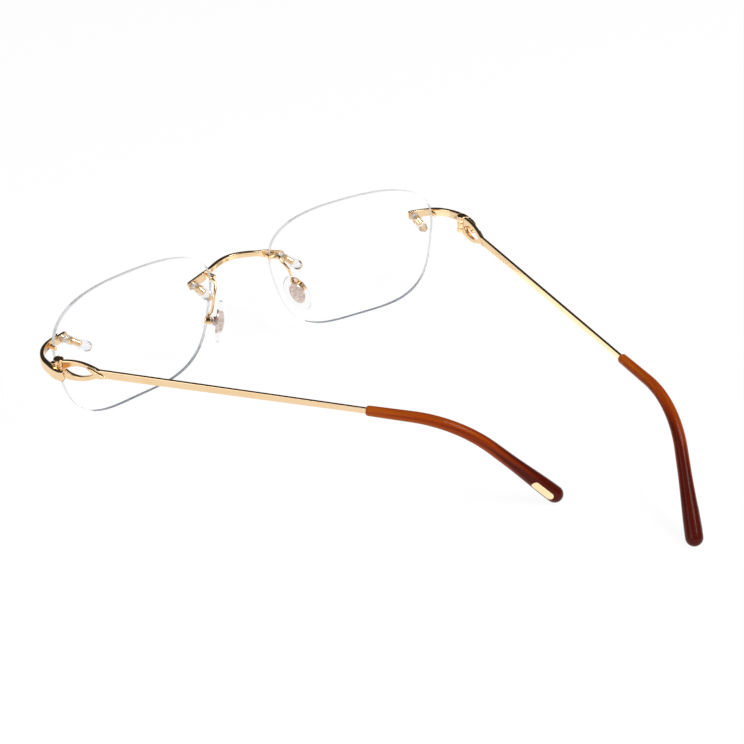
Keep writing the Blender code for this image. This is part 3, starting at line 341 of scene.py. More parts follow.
def swept(name, rings, matrix=None):
    """A closed skin through rings of points: a filled circle, extruded from ring to ring."""
    pick()
    if matrix:
        rings = [[matrix @ point for point in ring] for ring in rings]
    count = len(rings[0])
    bpy.ops.mesh.primitive_circle_add(vertices=count, radius=MM, fill_type="NGON")
    piece = bpy.context.object
    piece.name = name
    for vertex, point in zip(piece.data.vertices, rings[0]):
        vertex.co = point
    edit_all()
    bpy.ops.mesh.select_mode(type="VERT")
    order = {k: k for k in range(count)}
    for ring in rings[1:]:
        bpy.ops.mesh.extrude_region_move()
        # Each new vertex takes the place in its ring of the one that it was drawn from.
        known = {}
        for vertex in [vertex for vertex in bmesh.from_edit_mesh(piece.data).verts if vertex.select]:
            old = next(edge.other_vert(vertex) for edge in vertex.link_edges
                       if not edge.other_vert(vertex).select)
            known[vertex.index] = order[old.index]
            vertex.co = ring[known[vertex.index]]
        order = known
        bmesh.update_edit_mesh(piece.data)
    bpy.ops.mesh.select_all(action="SELECT")
    bpy.ops.mesh.normals_make_consistent(inside=False)
    bpy.ops.object.mode_set(mode="OBJECT")
    return piece


def turned(name, profile, matrix, count=32):
    """A turned piece from (radius, height) points in mm. Nearly no radius closes it."""
    rings = []
    for radius, height in profile:
        radius = max(radius, 0.004)
        rings.append([Vector((radius * cos(2 * pi * k / count), radius * sin(2 * pi * k / count),
                              height)) * MM for k in range(count)])
    return swept(name, rings, matrix)


def section(place, up, out, height, thickness, power, count=24):
    """A flat bar's section. The edges are sharper with a higher power; power 2 makes it round."""
    ring = []
    for k in range(count):
        turn = 2 * pi * (k + 0.5) / count
        c, s = cos(turn), sin(turn)
        a = copysign(abs(c) ** (2 / power), c) * height / 2
        b = copysign(abs(s) ** (2 / power), s) * thickness / 2
        ring.append(place + up * a + out * b)
    return ring


def box_piece(name, low, high, matrix, bevel=0.1):
    """A cube primitive between two corners in mm, with rounded edges."""
    pick()
    low, high = Vector(low) * MM, Vector(high) * MM
    bpy.ops.mesh.primitive_cube_add(size=1.0)
    piece = bpy.context.object
    piece.name = name
    edit_all()
    bpy.ops.transform.resize(value=high - low)
    bpy.ops.mesh.bevel(offset=bevel * MM, segments=3, affect="EDGES")
    bpy.ops.object.mode_set(mode="OBJECT")
    piece.data.transform(matrix @ Matrix.Translation((low + high) / 2))
    return piece


def rod_piece(name, diameter, low, high, matrix, bevel=0.12):
    """A cylinder in mm with rounded rims."""
    steps = [(diameter / 2 - bevel * inward, bevel * down)
             for inward, down in ((1.0, 0.0), (0.3, 0.3), (0.0, 1.0))]
    profile = ([(0.0, high)] + [(radius, high - down) for radius, down in steps]
               + [(radius, low + down) for radius, down in reversed(steps)] + [(0.0, low)])
    return turned(name, profile, matrix)


def carve(piece, *cutters):
    """Cuts other pieces out of a piece."""
    for cutter in cutters:
        step = piece.modifiers.new("carve", "BOOLEAN")
        step.operation = "DIFFERENCE"
        step.object = cutter
        pick(piece)
        bpy.ops.object.modifier_apply(modifier=step.name)
        bpy.data.objects.remove(cutter, do_unlink=True)
    return piece


def gather(name, *pieces):
    """Joins pieces into one object, which takes the given name."""
    pick(*pieces)
    bpy.ops.object.join()
    pieces[0].name = name
    return pieces[0]


def paint(piece, slot_name):
    piece.data.materials.clear()
    piece.data.materials.append(LOOKS[slot_name]())


def dress(piece, body, slot_name, node):
    """Gives a finished piece its material, its body and the CAD node it stands for."""
    pick(piece)
    bpy.ops.object.transform_apply(location=True, rotation=True, scale=True)
    bpy.ops.object.shade_smooth_by_angle(angle=35 * DEG)
    paint(piece, slot_name)
    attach(piece, body)
    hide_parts(node)


def mirror_copy(piece):
    """The mirror image of a piece, on the wearer's right."""
    other = piece.copy()
    other.data = piece.data.copy()
    bpy.context.scene.collection.objects.link(other)
    other.data.transform(MIRROR)
    pick(other)
    edit_all()
    bpy.ops.mesh.flip_normals()
    bpy.ops.object.mode_set(mode="OBJECT")
    return other


def tube(name, points, diameter):
    """A round wire along points, its section carried along without twist."""
    side = ACROSS
    rings = []
    for k, point in enumerate(points):
        way = (points[min(k + 1, len(points) - 1)] - points[max(k - 1, 0)]).normalized()
        side = (side - way * side.dot(way)).normalized()
        rings.append(section(point, side, way.cross(side), diameter, diameter, 2.0, 20))
    return swept(name, rings)


def dress_temple(piece, side, slot_name, node):
    """Finishes a piece of one temple. The right one is modelled on the left, then mirrored."""
    if side == "right":
        piece.data.transform(MIRROR)
        piece.data.flip_normals()
    dress(piece, f"{side}_temple", slot_name, f"{side}_{node}")


def dress_pair(piece, slot_name, node, body="front", name="{}_{}_made"):
    """Finishes a left piece and its mirror image, each standing for its own CAD node."""
    pair = (piece, mirror_copy(piece))
    for side, half in zip(("left", "right"), pair):
        half.name = name.format(side, node)
        dress(half, body.format(side), slot_name, f"{side}_{node}")
    return pair


def blend(start, end, share):
    share = min(max(share, 0.0), 1.0)
    return start + (end - start) * share * share * (3 - 2 * share)


def smooth_points(points, steps):
    """Points on a smooth curve through the given points."""
    spread = [points[0]]
    for i in range(len(points) - 1):
        before, start, end = points[max(i - 1, 0)], points[i], points[i + 1]
        after = points[min(i + 2, len(points) - 1)]
        spread += interpolate_bezier(start, start + (end - before) / 6,
                                     end - (after - start) / 6, end, steps + 1)[1:]
    return spread


def axes(origin, x_axis, y_axis, z_axis):
    matrix = Matrix((x_axis, y_axis, z_axis)).transposed().to_4x4()
    matrix.translation = origin
    return matrix


# ------------------------ frames of the glasses

# From the middle of the front to the left hinge, and how far a tip leans in per unit of drop.
HINGE_FROM_MIDDLE = Vector((65.901, 15.2974, 7.8)) * MM
TIP_LEAN = 0.36


def hinge_place():
    return Vector(JOINTS["left_hinge"]["pos_m"])


def upright():
    """Frame at the point between the lens centres, as the glasses stand."""
    return Matrix.Translation(hinge_place() - HINGE_FROM_MIDDLE)


def leaning():
    return upright() @ Matrix.Rotation(front().lean, 4, "X")


def lens_frame():
    """Lens frame: X towards the temple, Y up, Z forward."""
    wrap = front().wrap
    return leaning() @ axes(ACROSS * front().lens_centre,
                            Vector((cos(wrap), sin(wrap), 0.0)), UP,
                            Vector((sin(wrap), -cos(wrap), 0.0)))


def lens_point(u, v, forward=0.0):
    curve = front().lens_curve
    return Vector((u, v, sqrt((curve + forward) ** 2 - u * u - v * v) - curve))


OUTER_HOLE = (21.2 * MM, 7.2 * MM)
INNER_HOLE = (-22.3 * MM, 6.6 * MM)


def hole_frame(hole):
    """Frame of a drilled hole: Z forward along the screw."""
    place = lens_point(*hole)
    forward = (place + UP * front().lens_curve).normalized()
    right = Vector((0.0, 1.0, 0.0)).cross(forward).normalized()
    return lens_frame() @ axes(place, right, forward.cross(right), forward)


def outline():
    """The lens edge as 160 (towards the temple, up) points: a rounded oblong, squarer below,
    that widens and leans towards the nose as it rises."""
    width, height = front().lens_width, front().lens_height
    points = []
    for i in range(160):
        turn = 2 * pi * (i + 0.5) / 160
        across, rise = cos(turn), sin(turn)
        power = 2.0 / (2.95 if rise > 0 else 3.3)
        rise = copysign(abs(rise) ** power, rise)
        reach = copysign(abs(across) ** power, across) * (1 + 0.149 * rise)
        points.append((reach * width / 2 - 0.84 * MM * rise, rise * height / 2))
    widest = max(u for u, v in points) - min(u for u, v in points)
    return [(u * width / widest, v) for u, v in points]


def temple_station(along):
    """Centre, direction, upward and outward axes of a temple, so far from its hinge."""
    sizes = temples()
    turn = min(max(along - sizes.bend_start, 0.0) / sizes.bend_radius, sizes.bend)
    extra = max(along - sizes.bend_start - sizes.bend_radius * sizes.bend, 0.0)
    back = min(along, sizes.bend_start) + sizes.bend_radius * sin(turn) + extra * cos(sizes.bend)
    drop = sizes.bend_radius * (1 - cos(turn)) + extra * sin(sizes.bend)
    centre = Vector((0.2 * MM - TIP_LEAN * drop, back, -drop))
    slope = sin(turn)
    way = Vector((-TIP_LEAN * slope, cos(turn), -slope)).normalized()
    out = (ACROSS - way * way.x).normalized()
    return centre, way, out.cross(way), out


def tip_centre():
    """Distance from the hinge to the middle of the tip's round end, which rests on the table."""
    sizes = temples()
    bend_drop = sizes.bend_radius * (1 - cos(sizes.bend))
    tail = (hinge_place().z - sizes.tip_end_width / 2 - bend_drop) / sin(sizes.bend)
    return sizes.bend_start + sizes.bend_radius * sizes.bend + tail


def temple_frame(side):
    """Frame of a temple at its hinge. The right temple is modelled on the left, then mirrored."""
    fold = temples().left_fold if side == "left" else temples().right_fold
    return Matrix.Translation(hinge_place()) @ Matrix.Rotation(fold, 4, "Z")


# ------------------------ pieces

class GLASSES_OT_lenses(Operator):
    """Both lenses, curved, bevelled and drilled, with pale edges"""
    bl_idname = "glasses.lenses"
    bl_label = "Lenses"

    def execute(self, context):
        edge = outline()
        half, bevel = front().lens_thickness / 2, front().edge_bevel
        shares = (0.002, 0.1, 0.2, 0.3, 0.4, 0.5, 0.6, 0.7, 0.8, 0.88, 0.95,
                  1 - bevel / (front().lens_width / 2))

        def ring(share, forward):
            return [lens_point(u * share, v * share, forward) for u, v in edge]

        rings = [ring(share, half) for share in shares]
        rings += [ring(1, half - bevel), ring(1, bevel - half)]
        rings += [ring(share, -half) for share in reversed(shares)]
        matrix = lens_frame()
        lens = swept("left_lens_blank", rings, matrix)
        carve(lens, *[rod_piece("drill", 1.42, -3, 3, hole_frame(hole))
                      for hole in (OUTER_HOLE, INNER_HOLE)])
        pair = dress_pair(lens, "clear_lens", "lens", name="{}_clear_{}")
        for piece, place in zip(pair, (matrix, MIRROR @ matrix)):
            # The edge material carries painted shade and a painted glow.
            piece.data.materials.append(frosted_lens_edge_painted_shade_and_glow())
            centre = place @ Vector()
            facing = (place @ UP - centre).normalized()
            # Faces that stand across the lens are its edge and the walls of its holes.
            for face in piece.data.polygons:
                if abs(face.normal.dot(facing)) < 0.4 and (face.center - centre).length > half * 15:
                    face.material_index = 1
        return {"FINISHED"}


class GLASSES_OT_fixings(Operator):
    """Screws, nuts, washers and clear caps of the lenses"""
    bl_idname = "glasses.fixings"
    bl_label = "Lens fixings"

    def execute(self, context):
        # In mm. The head lies 0.05 mm in front of the plate.
        half = front().lens_thickness / 2 / MM
        under = half + (HOLE_GAP + front().plate_thickness) / MM + 0.05
        head, shank, reach = 1.05, 0.65, -5.6
        # The cap grips the thread, so its bore is as narrow as the thread's root.
        radius, bore, mouth, tip = 1.42, 0.5, -3.0, -8.8
        for corner, hole in (("outer", OUTER_HOLE), ("inner", INNER_HOLE)):
            seat = hole_frame(hole)
            profile = [(0.0, under + 0.45), (0.55 * head, under + 0.42), (0.85 * head, under + 0.3),
                       (head, under + 0.12), (head, under), (shank, under), (shank, -half)]
            # Thread of 0.36 mm pitch, a little coarser than the real one so that it shows.
            height = -half - 0.3
            while height > reach + 0.3:
                profile += [(shank - 0.12, height), (shank, height - 0.14), (shank, height - 0.2)]
                height -= 0.36
            profile += [(shank - 0.15, reach), (0.0, reach)]
            screw = carve(turned("screw", profile, seat, 28),
                          box_piece("slot", (-1.3, -0.16, under + 0.2), (1.3, 0.16, under + 1.0),
                                    seat, 0.02))
            profile = [(0.0, -5.4), (bore, -5.4), (bore, mouth), (radius - 0.15, mouth),
                       (radius, mouth - 0.15)]
            profile += [(radius * cos(turn * DEG), tip + radius * (1 - sin(turn * DEG)))
                        for turn in range(0, 91, 9)]
            cap = turned("cap", profile, seat, 36)
            dress_pair(screw, "gold_metal", f"{corner}_lens_screw")
            dress_pair(cap, "clear_nylon", f"{corner}_screw_cap")
            # The nuts and washers keep their CAD shapes, with better materials.
            for side in ("left", "right"):
                for node, slot_name in (("lens_nut", "gold_metal"), ("front_washer", "clear_nylon"),
                                        ("back_washer", "clear_nylon")):
                    paint(frame["nodes"][f"{side}_{corner}_{node}"], slot_name)
        return {"FINISHED"}


def edge_reach(v, towards_temple):
    """How far the lens edge is from its centre at height v, on one side."""
    edge = outline()
    best = 0.0
    for (u0, v0), (u1, v1) in zip(edge, edge[1:] + edge[:1]):
        if (v0 - v) * (v1 - v) <= 0.0 and v0 != v1:
            u = u0 + (u1 - u0) * (v - v0) / (v1 - v0)
            if (u > 0) == towards_temple:
                best = u
    return best


PLATE_SLOPE = 22.0 * DEG
HOLE_GAP = 0.4 * MM  # A washer of 0.3 mm with 0.05 mm on both sides.


def plate_middle():
    """From the middle of the lens to the middle of a plate in front of it."""
    return front().lens_thickness / 2 + HOLE_GAP + front().plate_thickness / 2


def plate_end(hole, tangent, up, out):
    """Sections of a plate's rounded end, from its tip to just past the screw."""
    rings = []
    for back, share in ((1.0, 0.3), (0.99, 0.55), (0.95, 0.72), (0.87, 0.85), (0.75, 0.94),
                        (0.6, 0.99), (0.4, 1.0), (0.0, 1.0)):
        rings.append(section(hole - tangent * front().plate_overrun * back, up, out,
                             front().plate_height * share, front().plate_thickness, 7.0))
    return rings


def claw_height():
    """Where the bridge's plate crosses the nasal edge of the lens."""
    run = abs(edge_reach(INNER_HOLE[1], False)) - abs(INNER_HOLE[0])
    return INNER_HOLE[1] + run * tan(PLATE_SLOPE)


def claw(v, towards_temple):
    """A small tab that passes back over the lens edge. On the nasal side its foot hooks behind."""
    side = 1.0 if towards_temple else -1.0
    near = edge_reach(v, towards_temple) + side * 0.1 * MM
    surface = lens_point(near, v).z
    face = (surface + plate_middle()) / MM
    near, v, back = near / MM, v / MM, (surface - front().lens_thickness / 2) / MM - 0.2
    far = near + side * 0.75
    pieces = [box_piece("claw", (min(near, far), v - 0.6, back - 0.75),
                        (max(near, far), v + 0.6, face), lens_frame(), 0.2)]
    if not towards_temple:
        pieces.append(box_piece("foot", (far + 0.1, v - 0.5, back - 0.75),
                                (near + 1.4, v + 0.5, back), lens_frame(), 0.3))
    return pieces


class GLASSES_OT_bridge(Operator):
    """Two sloping plates joined by the arched bar over the nose, with a claw at each lens"""
    bl_idname = "glasses.bridge"
    bl_label = "Bridge"

    def execute(self, context):
        sizes = front()
        seat = leaning().inverted() @ hole_frame(INNER_HOLE)
        along = Vector((-cos(PLATE_SLOPE), sin(PLATE_SLOPE), 0.0))
        tangent = (seat.to_3x3() @ along).normalized()
        out = seat.to_3x3() @ UP
        hole = seat @ (UP * plate_middle())
        start = hole + tangent * 3.4 * MM
        crown = Vector((0.0, -5.4, 9.2)) * MM
        forward = Vector((0.0, -1.0, 0.0))
        rings = plate_end(hole, tangent, out.cross(tangent), out)
        reach, steps = (start - crown).length, 40
        centres = interpolate_bezier(start, start + tangent * reach / 3,
                                     crown + ACROSS * reach / 3, crown, steps + 1)
        for i, centre in enumerate(centres):
            share = i / steps
            way = (tangent if i == 0 else -ACROSS if i == steps
                   else (centres[i + 1] - centres[i - 1]).normalized())
            face = out.lerp(forward, share)
            face = (face - way * face.dot(way)).normalized()
            rings.append(section(centre, face.cross(way), face,
                                 blend(sizes.plate_height * 0.95, sizes.bridge_height, 3 * share),
                                 blend(sizes.plate_thickness, sizes.bridge_thickness, 2 * share),
                                 blend(7.0, 6.0, 3 * share)))
        mirror = [[MIRROR @ point for point in ring] for ring in rings[:-1]]
        bar = swept("bar", rings + mirror[::-1], leaning())
        claws = claw(claw_height(), False)
        others = [mirror_copy(piece) for piece in claws]
        dress(gather("bridge_bar", bar, *claws, *others), "front", "gold_metal", "bridge")
        return {"FINISHED"}


def strip_path():
    """Stations of the left endpiece's strip: centre, direction, outward normal and share."""
    sizes = front()
    seat = upright().inverted() @ hole_frame(OUTER_HOLE)
    tangent = seat.to_3x3() @ ACROSS
    out = seat.to_3x3() @ UP
    hole = seat @ (UP * plate_middle())
    bend = hole + tangent * 3.2 * MM
    heading = atan2(tangent.y, tangent.x)
    line = HINGE_FROM_MIDDLE.x + (2.6 * MM + sizes.strip_end_thickness) / 2
    radius = (line - bend.x) / (1 - sin(heading))
    arc = radius * (pi / 2 - heading)
    lap, lap_radius = 4.3 * MM, 8.6 * MM
    turn_end = bend + Vector((radius * (1 - sin(heading)), radius * cos(heading), 0.0))
    straight = max(HINGE_FROM_MIDDLE.y - turn_end.y, 0.0)
    total = arc + straight + lap
    stations = [(bend, tangent, out, 0.12)]

    def add(base, x, y, turn, run):
        stations.append((base + Vector((x, y, 0.0)), Vector((cos(turn), sin(turn), 0.0)),
                         Vector((sin(turn), -cos(turn), 0.0)), run / total))

    for i in range(1, 33):
        turn = heading + (pi / 2 - heading) * i / 32
        add(bend, radius * (sin(turn) - sin(heading)), radius * (cos(heading) - cos(turn)), turn,
            arc * i / 32)
    for i in range(1, 13):
        turn = pi / 2 + lap / lap_radius * i / 12
        add(turn_end, -lap_radius * (1 - sin(turn)), straight - lap_radius * cos(turn), turn,
            arc + straight + lap * i / 12)
    return hole, [(Vector((spot.x, spot.y, blend(bend.z, HINGE_FROM_MIDDLE.z, share * 1.3))),
                   way, face, share) for spot, way, face, share in stations]


class GLASSES_OT_endpieces(Operator):
    """The strips from the lenses to the hinges, with their knuckles and slotted hinge screws"""
    bl_idname = "glasses.endpieces"
    bl_label = "Endpieces"

    def execute(self, context):
        sizes = front()
        hole, stations = strip_path()
        tangent, out = stations[0][1:3]
        rings = plate_end(hole, tangent, out.cross(tangent), out)
        for spot, way, face, share in stations:
            face = out.lerp(face, blend(0.0, 1.0, share * 3))
            face = (face - way * face.dot(way)).normalized()
            height = blend(sizes.strip_height, sizes.strip_end_height, (share - 0.35) * 2)
            thickness = blend(sizes.plate_thickness, sizes.strip_thickness, share * 4)
            thickness = blend(thickness, sizes.strip_end_thickness, (share - 0.4) * 3)
            rings.append(section(spot, face.cross(way), face, height, thickness, 6.0))
        spot, way, face, share = stations[-1]
        for run, size in ((0.12, 0.97), (0.22, 0.9), (0.28, 0.8)):
            rings.append(section(spot + way * (run - 0.28) * MM, face.cross(way), face,
                                 sizes.strip_end_height * size,
                                 sizes.strip_end_thickness * size, 5.0))
        strip = swept("strip", rings, upright())
        pieces = [strip] + claw(OUTER_HOLE[1], True)
        hinge = Matrix.Translation(hinge_place())
        for low, high in ((0.91, 2.25), (-2.3, -0.91)):
            pieces.append(rod_piece("knuckle", 2.6, low, high, hinge, 0.15))
            pieces.append(box_piece("leaf", (0.0, -0.78, low + 0.02), (2.1, 0.78, high - 0.02),
                                    hinge))
        # The open temple's eyelet needs room behind the strip.
        carve(strip, box_piece("room", (-3.0, 1.36, -4.0), (0.875, 8.0, 4.0),
                               hinge @ Matrix.Rotation(temples().right_fold, 4, "Z"), 0.02))
        dress_pair(gather("endpiece", *pieces), "gold_metal", "endpiece")
        screw = turned("screw", [(0.0, 2.9), (1.1, 2.9), (1.28, 2.85), (1.38, 2.74), (1.4, 2.6),
                                 (1.4, 2.34), (1.34, 2.3), (0.6, 2.3), (0.6, -2.2), (0.5, -2.3),
                                 (0.0, -2.3)], hinge, 40)
        slot = box_piece("slot", (-2.0, -0.2, 2.55), (2.0, 0.2, 3.9),
                         hinge @ Matrix.Rotation(35 * DEG, 4, "Z"), 0.02)
        dress_pair(carve(screw, slot), "gold_metal", "hinge_screw")
        return {"FINISHED"}


# The eyelet and its opening: where the middle is, half the length and half the height, in mm.
EYELET = (4.1, 8.5, 2.95)
OPENING = (5.8, 3.9, 1.6)
OPENING_END = 9.7


def almond(s, middle, half, rise):
    """Half-height of an almond at distance s from the hinge, in millimetres."""
    radius = (half * half + rise * rise) / (2 * rise)
    offset = abs(s - middle)
    return max(sqrt(max(radius * radius - offset * offset, 0.0)) - (radius - rise), 0.0)


class GLASSES_OT_temples(Operator):
    """Both temples: knuckle, almond eyelet with its lapped strand, tapering bar and core"""
    bl_idname = "glasses.temples"
    bl_label = "Temples"

    def temple(self, side):
        sizes = temples()
        matrix = temple_frame(side)
        bar_start, bar_end = 10.1 * MM, sizes.tip_start + 2.0 * MM

        def bar_half(s):
            share = max((s * MM - bar_start) / (bar_end - bar_start), 0.0)
            return (sizes.bar_height + (sizes.bar_end_height - sizes.bar_height) * share) / 2 / MM

        def ring(s, low, high, proud, thickness, power):
            centre, way, up, out = temple_station(s * MM)
            middle = centre + up * (low + high) / 2 * MM + out * proud * MM
            return section(middle, up, out, (high - low) * MM, thickness * MM, power)

        # Lower strand, which runs on as the bar.
        rings = []
        steps = [1.3 + 0.28 * k for k in range(42)] + [13.0 + (bar_end / MM - 13.0) * k / 14
                                                      for k in range(1, 15)]
        for s in steps:
            low = -max(almond(s, *EYELET), bar_half(s))
            high = (0.1 if s < 1.9 else -almond(s, *OPENING) if s < OPENING_END
                    else blend(0.0, bar_half(s), (s - OPENING_END) / 1.6))
            thickness = blend(1.15, sizes.bar_thickness / MM, (s - 8.0) / 4.0)
            thickness += (sizes.bar_end_thickness - sizes.bar_thickness) / MM * min(s / 80, 1.0)
            rings.append(ring(s, low, high, 0.0, thickness, 6.0))
        pieces = [swept("bar", rings, matrix)]
        # Upper strand, which meets the bar behind the opening.
        rings = []
        for k in range(39):
            s = 1.3 + 10.1 * k / 38
            low = (-0.1 if s < 1.9 else almond(s, *OPENING) if s < OPENING_END
                   else -0.4 * (s - OPENING_END) / 1.7)
            high = max(almond(s, *EYELET), bar_half(s) - 0.03 if s > 10.8 else 0.0)
            rings.append(ring(s, low, high, 0.0, 1.13, 6.0))
        pieces.append(swept("strand", rings, matrix))
        # Behind the opening the lower strand lies proud of the upper one, with a ledge between.
        rings = []
        for k in range(51):
            s = 7.9 + 5.0 * k / 50
            high = 1.93 - 0.54 * (s - 8.1)
            edge = -max(almond(s, *EYELET), bar_half(s)) + 0.03
            low = (almond(s, *OPENING) + 0.03 if s < OPENING_END
                   else blend(0.03, edge, (s - OPENING_END) / 1.2))
            lift = blend(0.0, 0.5, (s - 7.9) / 0.8) * blend(1.0, 0.0, (s - 11.6) / 1.2)
            rings.append(ring(s, low, high, lift / 2, 1.1 + lift, 9.0))
        pieces.append(swept("lap", rings, matrix))
        # Wire core inside the tip.
        rings = []
        for k in range(31):
            along = bar_end - 0.6 * MM + (126.4 * MM - bar_end) * k / 30
            centre, way, up, out = temple_station(along)
            rings.append(section(centre, up, out, 1.05 * MM, 1.05 * MM, 2.0, 12))
        pieces.append(swept("core", rings, matrix))
        pieces.append(rod_piece("knuckle", 2.6, -0.85, 0.85, matrix))
        pieces.append(box_piece("neck", (-0.25, 0.4, -0.83), (0.65, 1.7, 0.83), matrix, 0.08))
        return gather(f"{side}_temple_bar", *pieces)

    def execute(self, context):
        for side in ("left", "right"):
            dress_temple(self.temple(side), side, "gold_metal", "temple")
        return {"FINISHED"}


def tip_radius(along):
    sizes = temples()
    start, middle, end = sizes.tip_start, 120.0 * MM, tip_centre()  # Slimmer up to the middle.
    if along < middle:
        share = (along - start) / (middle - start)
        return (sizes.tip_width + (sizes.tip_middle_width - sizes.tip_width) * share) / 2
    return blend(sizes.tip_middle_width, sizes.tip_end_width, (along - middle) / (end - middle)) / 2


class GLASSES_OT_tips(Operator):
    """Brown temple tips with their inlays"""
    bl_idname = "glasses.tips"
    bl_label = "Temple tips"

    def tip(self, side):
        start, end = temples().tip_start, tip_centre()
        matrix = temple_frame(side)
        stations = [(start + run * MM, share) for run, share in (
            (0.0, 0.6), (0.02, 0.72), (0.1, 0.82), (0.25, 0.91), (0.45, 0.97), (0.7, 1.0))]
        begin = stations[-1][0]
        stations += [(begin + (end - begin) * k / 70, 1.0) for k in range(1, 71)]
        rings, marks = [], []
        for along, share in stations:
            centre, way, up, out = temple_station(along)
            size = 2 * tip_radius(along) * share
            rings.append(section(centre, up, out, size, size, 2.0, 32))
            marks.append((along - start) / (end - start))
        centre, way, up, out = temple_station(end)
        for degrees in (12, 25, 38, 50, 62, 73, 82, 88.5):
            spot = centre + way * tip_radius(end) * sin(degrees * DEG)
            size = 2 * tip_radius(end) * cos(degrees * DEG)
            rings.append(section(spot, up, out, size, size, 2.0, 32))
            marks.append(1.0)
        tip = swept(f"{side}_tip_body", rings, matrix)
        grain = tip.data.attributes.new("grain", "FLOAT_VECTOR", "POINT")
        spine = [(matrix @ (sum(ring, Vector()) / len(ring)), mark)
                 for ring, mark in zip(rings, marks)]
        turn = matrix.to_3x3().inverted()
        for vertex in tip.data.vertices:
            centre, mark = min(spine, key=lambda item: (item[0] - vertex.co).length_squared)
            round_it = (turn @ (vertex.co - centre)).normalized()
            grain.data[vertex.index].vector = (mark, round_it.x * 0.5, round_it.z * 0.5)
        return tip

    def inlay(self, side):
        """A thin plate with round ends, bent to the tip's outer face and level with it."""
        middle = tip_centre() + temples().tip_end_width / 2 - 6.6 * MM
        half, width = 3.5 * MM, 1.05 * MM
        rings = []
        turns = [-86 + 8.6 * k for k in range(11)]
        for side_way, degrees in [(-1, t) for t in turns] + [(1, -t) for t in reversed(turns)]:
            run = side_way * (half - width) + width * sin(degrees * DEG)
            spread = width * cos(degrees * DEG)
            centre, way, up, out = temple_station(middle + run)
            radius = tip_radius(middle + run)
            ring = []
            for depth, order in ((0.04 * MM, range(-5, 6)), (-0.3 * MM, range(5, -6, -1))):
                for n in order:
                    swing = spread / radius * n / 5
                    ring.append(centre + (out * cos(swing) + up * sin(swing)) * (radius + depth))
            rings.append(ring)
        return swept(f"{side}_inlay_plate", rings, temple_frame(side))

    def execute(self, context):
        for side in ("left", "right"):
            tip, inlay = self.tip(side), self.inlay(side)
            dress_temple(tip, side, "brown_acetate", "temple_tip")
            dress_temple(inlay, side, "gold_metal", "tip_inlay")
        return {"FINISHED"}


def pad_frame():
    """Frame of the left pad at its screw: Z towards the nose, Y up the pad, X along the screw."""
    sizes = pads()
    flat = cos(sizes.flare)
    nose = Vector((-cos(sizes.splay) * flat, sin(sizes.splay) * flat, -sin(sizes.flare)))
    up = (UP - nose * UP.dot(nose)).normalized()
    up = (up * cos(sizes.lean) + up.cross(nose) * sin(sizes.lean)).normalized()
    return axes(Vector(JOINTS["left_pad_rock"]["pos_m"]), up.cross(nose), up, nose)


class GLASSES_OT_pads(Operator):
    """Clear nose pads, their plates, and the bent wires and boxes that hold them"""
    bl_idname = "glasses.pads"
    bl_label = "Nose pads"

    def pad(self, matrix):
        sizes = pads()
        pick()
        bpy.ops.mesh.primitive_uv_sphere_add(segments=48, ring_count=28, radius=0.5)
        pad = bpy.context.object
        for vertex in pad.data.vertices:
            vertex.co.z = max(vertex.co.z, -0.26)  # The back is flat.
        pad.data.transform(matrix @ Matrix.Translation(UP * (sizes.stem + 0.35 * MM))
                           @ Matrix.Diagonal((sizes.pad_width, sizes.pad_length,
                                              sizes.pad_thickness, 1.0)))
        return pad

    def core(self, matrix):
        sizes = pads()
        oval = matrix @ Matrix.Translation(UP * sizes.stem) @ Matrix.Diagonal(
            (sizes.core_width / MM, sizes.core_length / MM, 1.0, 1.0))
        # A stamped plate with a raised rim on both faces.
        profile = [(0.0, 0.05), (0.12, 0.06), (0.22, 0.1), (0.3, 0.17), (0.34, 0.22),
                   (0.38, 0.16), (0.42, 0.2), (0.45, 0.29), (0.48, 0.26), (0.5, 0.12)]
        profile += [(r, -z) for r, z in reversed(profile)]
        stem = sizes.stem / MM
        plate = turned("plate", profile, oval, 48)
        tab = box_piece("tab", (-0.4, -0.65, 0.0), (0.4, 0.65, stem), matrix)
        eye = rod_piece("eye", 1.3, -0.4, 0.4, matrix @ Matrix.Rotation(90 * DEG, 4, "Y"), 0.08)
        boss = box_piece("boss", (-0.6, -1.3, 1.05), (0.6, 1.3, stem), matrix, 0.25)
        return gather("core", plate, tab, eye, boss)

    def arm(self, matrix):
        height = claw_height()
        edge = edge_reach(height, False)
        surface = lens_point(edge, height).z
        start = lens_frame() @ Vector((edge + 1.0 * MM, height,
                                       surface - front().lens_thickness / 2 - 1.0 * MM))
        box_back = matrix @ (UP * -0.91 * MM)
        route = [start] + [base + Vector(step) * MM for base, step in (
            (start, (-0.07, 0.6, 0.07)), (start, (0.4, 1.4, 0.7)), (start, (0.4, 2.8, -0.3)),
            (matrix.translation, (-3.1, -1.5, 6.5)), (matrix.translation, (-2.4, -1.2, 4.3)),
            (matrix.translation, (-1.8, -1.3, 1.8)), (matrix.translation, (-0.5, -1.3, 0.4)))]
        wire = tube("wire", smooth_points(route + [box_back], 10), pads().arm_width)
        box = carve(box_piece("box", (-0.91, -1.0, -1.21), (0.91, 1.0, 0.8), matrix, 0.4),
                    box_piece("slot", (-0.46, -2.0, -0.71), (0.46, 2.0, 2.0), matrix, 0.05))
        return gather("arm", wire, box)

    def screw(self, matrix):
        profile = [(0.0, 1.26), (0.4, 1.24), (0.58, 1.14), (0.65, 1.01), (0.65, 0.96), (0.4, 0.96),
                   (0.4, -0.9), (0.0, -0.91)]
        return turned("screw", profile, matrix @ Matrix.Rotation(90 * DEG, 4, "Y"), 28)

    def execute(self, context):
        matrix = pad_frame()
        for made in ((self.pad(matrix), "clear_silicone", "nose_pad", "{}_pad"),
                     (self.core(matrix), "pad_core_metal", "pad_core", "{}_pad"),
                     (self.arm(matrix), "gold_metal", "pad_arm"),
                     (self.screw(matrix), "gold_metal", "pad_screw")):
            dress_pair(*made)
        return {"FINISHED"}


# ------------------------ stage

